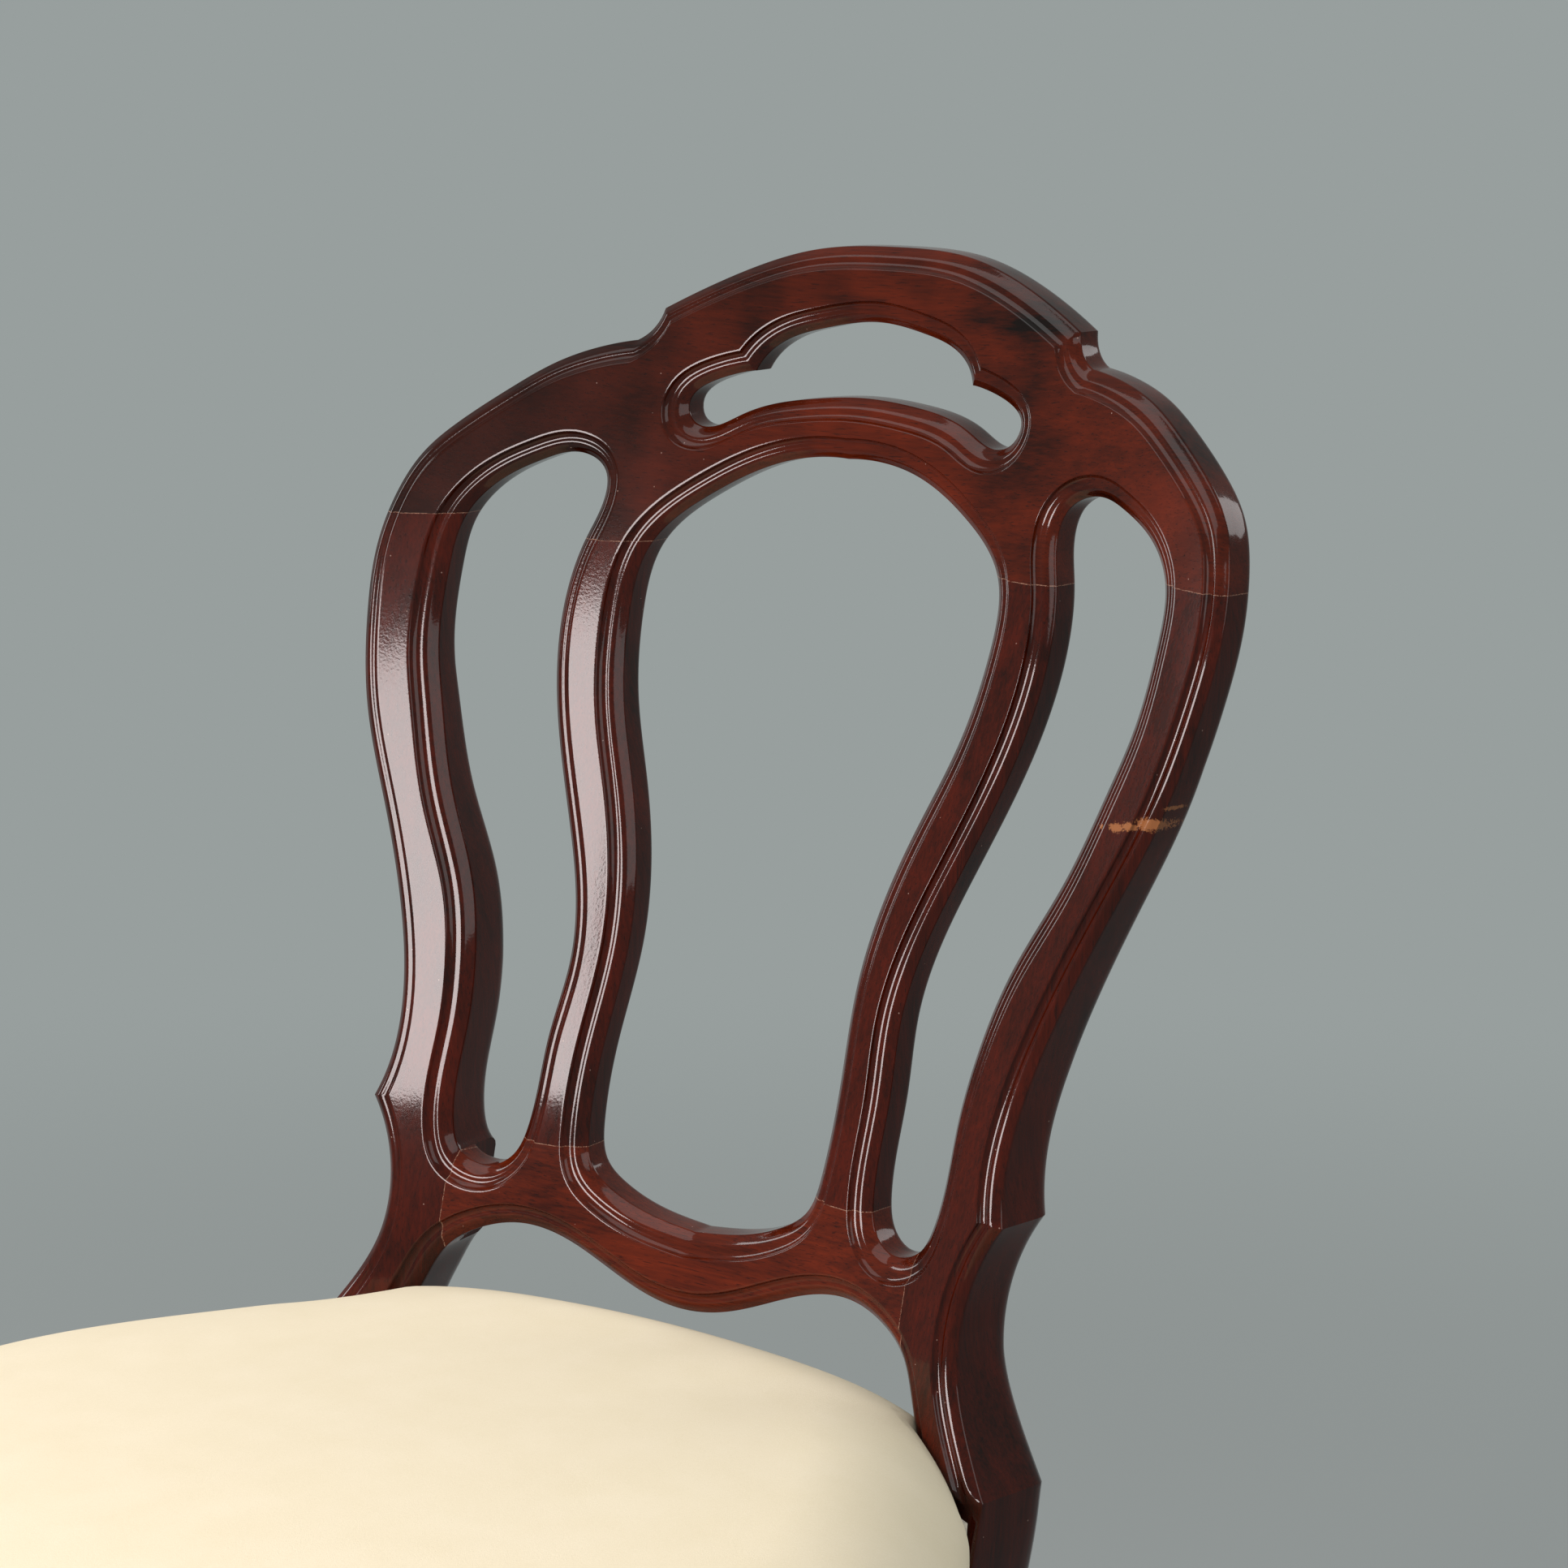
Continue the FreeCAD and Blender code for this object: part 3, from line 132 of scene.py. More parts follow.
outline = {
    "crest": [(0, 867), (35, 864.8), (69, 854), (96.4, 840.5)],
    "notch": [(96.4, 840.5), (99.4, 833), (105.5, 828)],
    "outer": [(105.5, 828), (120.4, 825), (139, 818), (155, 808), (173, 794.5), (185, 782), (192, 766),
              (195, 745), (193, 722), (184, 684), (168.5, 648), (153.5, 612), (144.5, 580), (143, 559),
              (147, 540)],
    "flare": [(147, 540), (137, 520), (134.3, 505), (136, 488), (142, 474), (158, 450)],
    "legOuter": [(158, 450), (154, 400), (150, 320), (150, 200), (158, 0)],
    "footMiddle": (143.5, 0),
    "legInner": [(129, 0), (120, 110), (116, 220), (117, 320), (122, 400), (123, 438), (121, 458),
                 (115, 473)],
    "stayUnder": [(107.4, 487), (95.5, 495), (77, 499.3), (58, 496.6), (36, 488.3), (18, 482), (0, 479.6)],
    "centre": [(0, 788.5), (30.7, 785.2), (60.3, 771), (81.5, 750.5), (84, 725.5), (78, 692.5),
               (66.7, 662.5), (57.5, 633), (53.7, 604), (55.3, 571), (54.8, 538.5), (51, 525), (41, 517.5),
               (20, 510.5), (0, 508)],
    "side": [(108.5, 523.4), (112.8, 532.2), (115, 548), (115, 569), (117.8, 593.5), (126, 622),
             (142, 654), (155, 689), (161, 709), (164, 739), (162, 758), (150, 773), (135, 781),
             (121, 784.5), (107, 777.5), (105.5, 766.5), (109.5, 752.5), (112.8, 730.5), (110.5, 705.5),
             (103, 678.5), (88.7, 642), (81.7, 622), (77.7, 597), (80, 569), (81.3, 535), (85.1, 524.5),
             (93.7, 519), (101.7, 519.5)],
    "cartoucheLow": [(0, 811), (24, 809.3), (52.5, 802.2), (68.5, 796.7), (75, 799.7), (77, 806),
                     (69, 813.6), (50.4, 818.6)],
    "cartoucheTop": [(50.4, 818.6), (45, 826.8), (36, 832.2), (24, 835.6), (0, 839)],
    "spacing": 1.6,
}


def outlineLoops():
    # the rim of the back and its four openings, each as curves that meet at corners
    o, step = outline, outline["spacing"]
    crest = mirrored(o["crest"]) + o["crest"][1:]
    foot = [o["legOuter"][-1], o["footMiddle"], o["legInner"][0]]
    under = o["legInner"] + o["stayUnder"]
    rim = [crest, o["notch"], o["outer"], o["flare"], o["legOuter"], foot, under + mirrored(under)[1:],
           mirrored(foot), mirrored(o["legOuter"]), mirrored(o["flare"]), mirrored(o["outer"]),
           mirrored(o["notch"])]
    return [[fairCurve(piece, step) for piece in rim],
            [fairCurve(o["centre"], step), fairCurve(mirrored(o["centre"]), step)],
            [fairCurve(o["side"], step, True)],
            [fairCurve(mirrored(o["side"]), step, True)],
            [fairCurve(mirrored(o["cartoucheLow"]) + o["cartoucheLow"][1:], step),
             fairCurve(o["cartoucheTop"] + mirrored(o["cartoucheTop"])[1:], step)]]


mitreRules = {
    "tiny": 1e-12,  # takes the place of a divisor of nothing
    "reach": 40, "turn": 0.08,  # points searched beside a corner, and the least turn's sine
}


def meeting(a, b):
    # where two lines of points cross, nearest to the end of one and the start of the other
    r, s = np.diff(a, axis=0), np.diff(b, axis=0)
    gap = b[None, :-1] - a[:-1, None]
    cross = r[:, None, 0] * s[None, :, 1] - r[:, None, 1] * s[None, :, 0]
    cross = np.where(np.abs(cross) < mitreRules["tiny"], mitreRules["tiny"], cross)
    u = (gap[..., 0] * s[None, :, 1] - gap[..., 1] * s[None, :, 0]) / cross
    v = (gap[..., 0] * r[:, None, 1] - gap[..., 1] * r[:, None, 0]) / cross
    hits = np.argwhere((u >= 0) & (u <= 1) & (v >= 0) & (v <= 1))
    if not len(hits):
        return None
    i, j = min(hits.tolist(), key=lambda hit: len(a) - hit[0] + hit[1])
    return i, j, a[i] + u[i, j] * r[i]


def insetRing(loop, side, inset):
    # a loop moved into the wood by an inset, mitred where two curves meet at a corner
    moved = [p + side * inset * np.stack([-t[:, 1], t[:, 0]], axis=1) for p, t in loop]
    for i in range(len(loop) if len(loop) > 1 else 0):
        before, after = moved[i - 1], moved[i]
        corner, ta, tb = loop[i][0][0], loop[i - 1][1][-1], loop[i][1][0]
        turn = side * (ta[0] * tb[1] - ta[1] * tb[0])
        na, nb = side * np.array([-ta[1], ta[0]]), side * np.array([-tb[1], tb[0]])
        mitre = corner + (na + nb) / (1 + na @ nb) * inset
        reach = min(mitreRules["reach"], len(before), len(after))
        sharp = turn > mitreRules["turn"] and inset > 0
        found = meeting(before[-reach:], after[:reach]) if sharp else None
        if found:
            last, first, crossing = found
            before[len(before) - reach + last + 1:] = crossing
            after[:first + 1] = crossing
        else:
            before[-1] = after[0] = mitre
    return np.concatenate([ring[:-1] for ring in moved])


# Moulding along every edge, from the rear face round the arris to the raised field: inset, then set back

moulding = {
    "section": [(3.0, 12.5), (1.7, 12.2), (0.7, 11.5), (0.15, 10.5), (0, 9.3), (0, 4.5), (0, 0.9), (0, 0.4),
                (0.12, 0.1), (0.42, -0.15), (1.1, -0.8), (1.9, -1.6), (2.7, -2.3), (3.5, -2.8), (4.2, -3.0),
                (4.8, -2.95), (5.4, -2.9), (6.1, -3.0), (6.8, -3.35), (7.4, -3.9), (7.8, -4.5), (8.0, -5.05),
                (8.25, -5.4), (8.6, -5.5), (9.2, -5.5)],
    "fieldStep": 3.6, "weld": 0.006, "smoothAngle": 35,  # millimetres and degrees
}


def insideOf(points, ring):
    x, y = points[:, None, 0], points[:, None, 1]
    ax, ay = ring[None, :, 0], ring[None, :, 1]
    bx, by = np.roll(ax, -1), np.roll(ay, -1)
    rise = np.where(by == ay, 1e-9, by - ay)  # a level side is never crossed, so any divisor does
    crossed = ((ay > y) != (by > y)) & (x < (bx - ax) * (y - ay) / rise + ax)
    return crossed.sum(axis=1) % 2 == 1


def roomBetween(points, rings):
    # which points lie inside the first ring and outside all others
    return insideOf(points, rings[0]) & ~np.any([insideOf(points, ring) for ring in rings[1:]], axis=0)


netRules = {
    "apart": 0.01,  # neighbouring points of a ring that are closer than this count as one
    "rows": 0.87,  # distance of two rows as a share of the step, for nearly equilateral triangles
    "clear": 0.5,  # share of the step that the net keeps away from the rings
    "merge": 1e-5, "sliver": 0.002,  # and twice the area of the smallest triangle that is kept
}


def fieldFaces(rings, step):
    # a fine net over the room between the rings: its points and triangles
    verts, edges = [], []
    for ring in rings:
        steps = np.hypot(*(ring - np.roll(ring, 1, axis=0)).T)
        kept = [p for p, far in zip(ring, steps) if far > netRules["apart"]]
        base = len(verts)
        verts += kept
        edges += [(base + i, base + (i + 1) % len(kept)) for i in range(len(kept))]
    rim = np.array(verts)
    lo, hi = rim.min(0), rim.max(0)
    columns = np.arange(lo[0], hi[0], step)
    rows = np.arange(lo[1], hi[1], step * netRules["rows"])
    grid = np.array([(x + (step / 2 if row % 2 else 0), z) for row, z in enumerate(rows) for x in columns])
    grid = grid[roomBetween(grid, rings)]
    clear = np.array([np.min(np.hypot(*(rim - p).T)) > step * netRules["clear"] for p in grid])
    points = [Vector(p) for p in np.concatenate([rim, grid[clear]])]
    placed, _, faces, *_ = delaunay_2d_cdt(points, edges, [], 0, netRules["merge"])
    placed = np.array([tuple(p) for p in placed])
    corners = placed[np.array([list(face) for face in faces])]
    sides = corners[:, 1:] - corners[:, :1]
    doubleArea = np.abs(sides[:, 0, 0] * sides[:, 1, 1] - sides[:, 0, 1] * sides[:, 1, 0])
    keep = (doubleArea > netRules["sliver"]) & roomBetween(corners.mean(1), rings)
    return placed, [tuple(face) for face, kept in zip(faces, keep) if kept]


def meshPiece(name, verts, faces):
    mesh = bpy.data.meshes.new(name)
    mesh.from_pydata([tuple(v) for v in verts], [], faces)
    mesh.update()
    piece = bpy.data.objects.new(name, mesh)
    bpy.context.scene.collection.objects.link(piece)
    return piece


def pickOnly(*pieces):
    bpy.ops.object.select_all(action="DESELECT")
    for piece in pieces:
        piece.select_set(True)
    bpy.context.view_layer.objects.active = pieces[0]


def flatBack():
    # the whole back as one moulded board: x, set back and z in millimetres
    loops = outlineLoops()
    verts, faces, fronts, rears = [], [], [], []
    for index, loop in enumerate(loops):
        corners = np.concatenate([p[:-1] for p, t in loop])
        after = np.roll(corners, -1, axis=0)
        area = np.sum(corners[:, 0] * after[:, 1] - after[:, 0] * corners[:, 1])
        side = 1 if (area > 0) == (index == 0) else -1
        rings = [insetRing(loop, side, inset) for inset, _ in moulding["section"]]
        rears.append(rings[0])
        fronts.append(rings[-1])
        base, count = len(verts), len(rings[0])
        for ring, (_, back) in zip(rings, moulding["section"]):
            verts += [(x, back, z) for x, z in ring]
        for k in range(len(rings) - 1):
            for i in range(count):
                a, b = base + k * count + i, base + k * count + (i + 1) % count
                faces.append((a, b, b + count, a + count))
    for rings, back in ((fronts, moulding["section"][-1][1]), (rears, moulding["section"][0][1])):
        placed, net = fieldFaces(rings, moulding["fieldStep"])
        base = len(verts)
        verts += [(x, back, z) for x, z in placed]
        faces += [tuple(base + i for i in face) for face in net]
    piece = meshPiece("backBoard", verts, faces)
    pickOnly(piece)
    bpy.ops.object.mode_set(mode="EDIT")
    bpy.ops.mesh.select_all(action="SELECT")
    bpy.ops.mesh.remove_doubles(threshold=moulding["weld"])
    bpy.ops.mesh.normals_make_consistent(inside=False)
    bpy.ops.object.mode_set(mode="OBJECT")
    return piece


# Glued joints of the back: a point and the normal of each saw cut, the region of the member that it cuts,
# and how far from the point its glue line can be seen

joints = [
    {"at": (179.5, 759), "normal": (0.02, 0, 1), "x": (140, 230), "z": (735, 785), "reach": 42},
    {"at": (-179.5, 759), "normal": (-0.02, 0, 1), "x": (-230, -140), "z": (735, 785), "reach": 42},
    {"at": (97, 752.5), "normal": (0.02, 0, 1), "x": (60, 125), "z": (730, 772), "reach": 36},
    {"at": (-97, 752.5), "normal": (-0.02, 0, 1), "x": (-125, -60), "z": (730, 772), "reach": 36},
    {"at": (67, 531), "normal": (0, 0, 1), "x": (45, 97), "z": (515, 545), "reach": 30},
    {"at": (-67, 531), "normal": (0, 0, 1), "x": (-97, -45), "z": (515, 545), "reach": 30},
    {"at": (108, 505), "normal": (1, 0, 0), "x": (100, 116), "z": (465, 533), "reach": 40},
    {"at": (-108, 505), "normal": (1, 0, 0), "x": (-116, -100), "z": (465, 533), "reach": 40},
]
sawTolerance = 0.0001


def sawJoints(board):
    mesh = board.data
    for joint in joints:
        normal = joint["normal"]
        point = (joint["at"][0], 0, joint["at"][1])
        pickOnly(board)
        bpy.ops.object.mode_set(mode="EDIT")
        bpy.ops.mesh.select_mode(type="FACE")
        bpy.ops.mesh.select_all(action="DESELECT")
        bpy.ops.object.mode_set(mode="OBJECT")
        for face in mesh.polygons:
            c = face.center
            face.select = joint["x"][0] < c.x < joint["x"][1] and joint["z"][0] < c.z < joint["z"][1]
        bpy.ops.object.mode_set(mode="EDIT")
        bpy.ops.mesh.bisect(plane_co=point, plane_no=normal, use_fill=False, threshold=sawTolerance)
        bpy.ops.mesh.select_mode(type="EDGE")
        bpy.ops.mesh.edge_split(type="EDGE")
        bpy.ops.object.mode_set(mode="OBJECT")
    bpy.ops.object.mode_set(mode="EDIT")
    bpy.ops.mesh.select_all(action="SELECT")
    bpy.ops.mesh.separate(type="LOOSE")
    bpy.ops.mesh.select_all(action="SELECT")
    bpy.ops.object.mode_set(mode="OBJECT")
    return list(bpy.context.selected_objects)


memberRules = {"middle": 20, "crestAbove": 650, "legBelow": 100}  # what tells the sawn pieces apart


def nameOf(piece):
    co = np.array([v.co for v in piece.data.vertices])
    middle = (co.min(0) + co.max(0)) / 2
    hand = "left" if middle[0] > 0 else "right"
    if abs(middle[0]) < memberRules["middle"]:
        return "crest_rail" if middle[2] > memberRules["crestAbove"] else "stay_rail"
    return ("stile_leg_" if co[:, 2].min() < memberRules["legBelow"] else "upright_") + hand


def buildBack():
    pieces = {}
    for piece in sawJoints(flatBack()):
        name = nameOf(piece)
        pickOnly(piece)
        bpy.ops.object.mode_set(mode="EDIT")
        bpy.ops.mesh.select_all(action="SELECT")
        bpy.ops.mesh.fill_holes(sides=0)
        bpy.ops.mesh.select_all(action="SELECT")
        bpy.ops.mesh.normals_make_consistent(inside=False)
        bpy.ops.object.mode_set(mode="OBJECT")
        co = np.array([v.co for v in piece.data.vertices])
        depth = backForm["panelDepth"]
        if name.startswith("stile"):
            depths = np.array(backForm["stileDepths"])
            depth = np.interp(co[:, 2], depths[:, 0], depths[:, 1])
        placed = onBack(co[:, 0], co[:, 2], co[:, 1], depth)
        piece.data.vertices.foreach_set("co", placed.astype(np.float32).ravel())
        piece.data.update()
        piece.name = piece.data.name = name + "_moulded"
        bpy.ops.object.shade_smooth_by_angle(angle=math.radians(moulding["smoothAngle"]))
        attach(piece, "root")
        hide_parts(name)
        pieces[name] = piece
        print("  ", name, len(piece.data.polygons), "faces")
    return pieces


backPieces = buildBack()
print("moulded back built and jointed")


# The upholstered seat: stuffing, wadding and felt cover, each a domed form inside the next

seat = {
    "sideCentre": (-144.9, -112.4), "sideRadius": 366.3, "frontRadius": 921.1, "frontY": -277.6,
    "cornerCentre": (189, -240), "cornerRadius": 18,
    "out": 12, "outAtLegs": 5.5, "outFade": (-20, 95),  # how far the felt stands out from the rails
    "frontXs": (0, 45, 90, 135, 170), "cornerTurns": (-84, -62, -40, -18),
    "sideYs": (-200, -160, -110, -60, -10, 30, 60, 84), "lastSide": (98, 0.5),
    "legX": 149, "legInX": 125.2, "legZ": 450, "legEase": (5.2, 6.5), "legGap": 0.8, "legDraw": 0.3,
    "rearY": 156, "rearEndY": 153.2, "rearQuarter": (95, 0.7),
    "drawIn": 0.5,  # share of a layer's depth by which its ends at the legs, and its roll, draw in
    "planStep": 4, "legStep": 3, "netStep": 4.6, "rollEvery": 6,
    "edgeZ": 440, "crownZ": 487, "hemZ": 369.5, "railTop": 437.6,
    "crownY": -10, "crownHalf": (207, 240), "crownPower": (2.1, 2.2),
    "sideFall": 13, "rearSideFall": 11, "rearFallY": (-20, 130), "endFall": 17,
    "roll": 57, "tuck": 8,  # how far in the edge rolls over: all round, and against the back legs
    "rearRound": [(146, 123), (128, 143.5), (98, 155), (50, 159), (0, 160)],
    "wall": ((1, 1.8), (0.8, 1.5), (0.6, 1.1), (0.4, 0.6), (0.2, 0.2)),  # share of the drop, and inset there
    "insets": (0, 0.25, 0.8, 1.7, 3.0, 4.8, 7.2, 10.2),  # rings on the rolled edge
    "hemIn": 13, "hemBelow": 20,  # a layer that ends this far below the rails' top is turned under
    "legZoneX": (110, 146), "legZoneY": (90, 150.5),
    "followIn": (70, 108), "followOut": (124, 142), "followX": 158,
    "railZoneX": 138, "railZoneY": (60, 113), "railGap": 0.4,
    "felt": 2.0, "wadding": 6.0, "waddingGap": 0.2, "hairGap": 0.6,
    "waddingLow": 392, "waddingLegLow": 1, "hairLow": 1.4,  # the last two above the rails' top
    "weld": 0.00005, "smoothAngle": 60,  # metres and degrees
}


def seatTop(x, y):
    # height of the felt's dome, before its edge rolls over
    s = seat
    side = (np.abs(x) / s["crownHalf"][0]) ** s["crownPower"][0]
    end = (np.abs(y - s["crownY"]) / s["crownHalf"][1]) ** s["crownPower"][1]
    sideFall = s["sideFall"] + s["rearSideFall"] * smooth(y, *s["rearFallY"])
    return s["crownZ"] - sideFall * side - s["endFall"] * end


def seatLoop(inner):
    # plan of the seat at a distance inside the face of the felt, anticlockwise from the right back leg
    s = seat
    legFront = float(frontRadius(s["legZ"]))
    fullOut = s["out"] - inner

    def legY(x):
        return backForm["axisY"] + math.sqrt(legFront ** 2 - x ** 2) - s["legGap"] - inner * s["legDraw"]

    def sideX(y):
        out = s["out"] - (s["out"] - s["outAtLegs"]) * float(smooth(y, *s["outFade"])) - inner
        return s["sideCentre"][0] + math.sqrt((s["sideRadius"] + out) ** 2 - (y - s["sideCentre"][1]) ** 2)

    half = [(x, s["frontY"] - fullOut + s["frontRadius"] - math.sqrt(s["frontRadius"] ** 2 - x ** 2))
            for x in s["frontXs"]]
    reach = s["cornerRadius"] + fullOut
    for turn in s["cornerTurns"]:
        a = math.radians(turn)
        half.append((s["cornerCentre"][0] + reach * math.cos(a), s["cornerCentre"][1] + reach * math.sin(a)))
    half += [(sideX(y), y) for y in s["sideYs"]]
    lastY, lastIn = s["lastSide"]
    endX = s["legX"] - inner * s["drawIn"]
    endY = legY(endX)
    half += [(sideX(lastY) - lastIn, lastY), (endX + s["legEase"][0], endY - s["legEase"][1]), (endX, endY)]
    free = fairCurve([(-x, y) for x, y in half[:0:-1]] + half, s["planStep"])
    inX = s["legInX"] - inner * s["drawIn"]
    middleX = (endX + inX) / 2
    legFace = fairCurve([(endX, endY), (middleX, legY(middleX)), (inX, legY(inX))], s["legStep"])
    rearEnd = s["rearEndY"] - inner
    legSide = fairCurve([(inX, legY(inX)), (inX, (legY(inX) + rearEnd) / 2), (inX, rearEnd)], s["legStep"])
    quarterX, quarterIn = s["rearQuarter"]
    rearHalf = [(inX, rearEnd), (quarterX, s["rearY"] - quarterIn - inner)]
    rearOther = [(-x, y) for x, y in rearHalf[::-1]]
    rear = fairCurve(rearHalf + [(0, s["rearY"] - inner)] + rearOther, s["planStep"])
    flipped = []
    for p, t in (legSide, legFace):
        flipped.append((np.stack([-p[::-1, 0], p[::-1, 1]], 1), np.stack([t[::-1, 0], -t[::-1, 1]], 1)))
    return [free, legFace, legSide, rear] + flipped


def awayFrom(points, path):
    # distance of each point from a line of short steps
    a, b = path[None, :-1], path[None, 1:]
    along = np.clip(((points[:, None] - a) * (b - a)).sum(2) / ((b - a) ** 2).sum(2), 0, 1)[..., None]
    return np.sqrt((((points[:, None] - a) - along * (b - a)) ** 2).sum(2).min(1))


def seatHeight(points, loop, inner):
    # height of a layer's top at each point: the dome, rolled down to the edge
    s = seat
    rear = [(x, y - inner) for x, y in s["rearRound"]]
    free = [tuple(p) for p in loop[0][0][::s["rollEvery"]]] + [tuple(loop[0][0][-1])]
    rollPath, _ = fairCurve(free + rear + [(-x, y) for x, y in rear[-2::-1]], s["planStep"], closed=True)
    edges = [(rollPath, s["roll"] - inner * s["drawIn"])]
    edges += [(loop[k][0], s["tuck"]) for k in (1, 2, 4, 5)]  # the faces at the two back legs
    rise = insideOf(points, rollPath).astype(float)
    for path, roll in edges:
        inside = np.clip(awayFrom(points, path) / roll, 0, 1)
        rise *= np.sqrt(1 - (1 - inside) ** 2)
    return s["edgeZ"] + (seatTop(points[:, 0], points[:, 1]) - inner - s["edgeZ"]) * rise


def within(values, limits):
    return (values > limits[0]) & (values < limits[1])


def seatRings(loop, inner, low, legLow):
    # a layer's rings from its lowest edge up the wall and over the roll, each with its heights
    s = seat
    rim = insetRing(loop, 1, 0)
    atLeg = within(np.abs(rim[:, 0]), s["legZoneX"]) & within(rim[:, 1], s["legZoneY"])
    lows = np.where(atLeg, max(low, legLow), low)
    rings = []
    if low < s["railTop"] - s["hemBelow"]:
        rings.append((insetRing(loop, 1, s["hemIn"]), lows))
    for share, inset in s["wall"]:
        rings.append((insetRing(loop, 1, inset), np.maximum(s["edgeZ"] - (s["edgeZ"] - low) * share, lows)))
    for inset in s["insets"]:
        ring = insetRing(loop, 1, inset)
        rings.append((ring, seatHeight(ring, loop, inner)))
    return rings


def pressSeat(v, inner):
    s = seat
    # beside the back legs a layer follows their rake
    follow = smooth(v[:, 1], *s["followIn"]) * (1 - smooth(v[:, 1], *s["followOut"]))
    at = np.minimum(np.abs(v[:, 0]), s["followX"])
    there = np.sqrt(frontRadius(v[:, 2]) ** 2 - at ** 2)
    v[:, 1] += follow * (there - np.sqrt(frontRadius(s["legZ"]) ** 2 - at ** 2))
    # and its wall stays outside the rear ends of the side rails
    centre = np.array(s["sideCentre"])
    out = np.stack([np.abs(v[:, 0]), v[:, 1]], 1) - centre
    reach = np.hypot(*out.T)
    clear = s["sideRadius"] + s["felt"] + s["railGap"] - inner
    beside = within(v[:, 1], s["railZoneY"]) & (np.abs(v[:, 0]) > s["railZoneX"])
    short = beside & (v[:, 2] < s["edgeZ"] + 1) & (reach < clear)
    moved = centre + out * (clear / reach)[:, None]
    v[short, 0] = np.sign(v[short, 0]) * moved[short, 0]
    v[short, 1] = moved[short, 1]


def seatForm(name, inner, low, thick=0, legLow=0):
    # a domed layer of the seat, at a depth inside the felt's face, down to a height
    loop = seatLoop(inner)
    rings = seatRings(loop, inner, low, legLow)
    verts, faces, count = [], [], len(rings[0][0])
    for ring, heights in rings:
        verts += [(x, y, z) for (x, y), z in zip(ring, heights)]
    for k in range(len(rings) - 1):
        for i in range(count):
            a, b = k * count + i, k * count + (i + 1) % count
            faces.append((a, b, b + count, a + count))
    placed, net = fieldFaces([rings[-1][0]], seat["netStep"])
    base = len(verts)
    verts += [(x, y, z) for (x, y), z in zip(placed, seatHeight(placed, loop, inner))]
    faces += [tuple(base + i for i in face) for face in net]
    v = np.array(verts)
    pressSeat(v, inner)
    piece = meshPiece(name, v * mm, faces)
    pickOnly(piece)
    bpy.ops.object.mode_set(mode="EDIT")
    bpy.ops.mesh.select_all(action="SELECT")
    bpy.ops.mesh.remove_doubles(threshold=seat["weld"])
    if not thick:
        bpy.ops.mesh.fill_holes(sides=0)
        bpy.ops.mesh.select_all(action="SELECT")
    bpy.ops.mesh.normals_make_consistent(inside=False)
    bpy.ops.object.mode_set(mode="OBJECT")
    if thick:
        wall = piece.modifiers.new("thickness", "SOLIDIFY")
        wall.thickness = thick * mm
        wall.offset = -1
        bpy.ops.object.modifier_apply(modifier="thickness")
    bpy.ops.object.shade_smooth_by_angle(angle=math.radians(seat["smoothAngle"]))
    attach(piece, "root")
    print("  ", name, len(piece.data.polygons), "faces")
    return piece


feltCover = seatForm("seat_cover_felt", 0, seat["hemZ"], seat["felt"], seat["railTop"])
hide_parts("seat_cover")
waddingPad = seatForm("wadding_pad", seat["felt"] + seat["waddingGap"], seat["waddingLow"], seat["wadding"],
                      seat["railTop"] + seat["waddingLegLow"])
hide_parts("wadding")
hairPad = seatForm("hair_pad", seat["felt"] + seat["wadding"] + seat["hairGap"],
                   seat["railTop"] + seat["hairLow"])
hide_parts("hair_stuffing")
print("seat upholstered")


# Materials

def tint(hexColour):
    # sRGB hex to the linear colour that Blender works in
    parts = [int(hexColour[i:i + 2], 16) / 255 for i in (1, 3, 5)]
    return tuple(c / 12.92 if c <= 0.04045 else ((c + 0.055) / 1.055) ** 2.4 for c in parts) + (1,)


def addNode(material, kind, settings=None, **inputs):
    # a node with its settings and inputs, which are named as in Blender or numbered i0, i1 and so on
    node = material.node_tree.nodes.new(kind)
    for key, value in (settings or {}).items():
        setattr(node, key, value)
    for key, value in inputs.items():
        byNumber = key[0] == "i" and key[1:].isdigit()
        place = node.inputs[int(key[1:]) if byNumber else key.replace("_", " ")]
        if isinstance(value, bpy.types.NodeSocket):
            material.node_tree.links.new(value, place)
        else:
            place.default_value = value
    return node


def numbered(values):
    return {"i" + str(k): value for k, value in enumerate(values)}


def reckon(material, operation, *values):
    return addNode(material, "ShaderNodeMath", {"operation": operation}, **numbered(values)).outputs[0]


def measure(material, operation, *vectors):
    node = addNode(material, "ShaderNodeVectorMath", {"operation": operation}, **numbered(vectors))
    return node.outputs["Value"]


def noise(material, place, scale, detail, **inputs):
    node = addNode(material, "ShaderNodeTexNoise", Vector=place, Scale=scale, Detail=detail, **inputs)
    return node.outputs[0]


def spread(material, value, low, high, bottom=0.0, top=1.0):
    # a value that runs from low to high, made to run from bottom to top
    return addNode(material, "ShaderNodeMapRange", i0=value, i1=low, i2=high, i3=bottom, i4=top).outputs[0]


def weigh(material, share, first, second):
    # two values in one, by the share of the second
    node = addNode(material, "ShaderNodeMix", {"data_type": "FLOAT"}, i0=share, i2=first, i3=second)
    return node.outputs[0]


def blend(material, share, first, second):
    # two colours in one, by the share of the second
    return addNode(material, "ShaderNodeMix", {"data_type": "RGBA"}, i0=share, i6=first, i7=second).outputs[2]


def bumps(material, height, distance, strength):
    return addNode(material, "ShaderNodeBump", Height=height, Distance=distance, Strength=strength).outputs[0]


def objectPlace(material):
    return addNode(material, "ShaderNodeTexCoord").outputs["Object"]


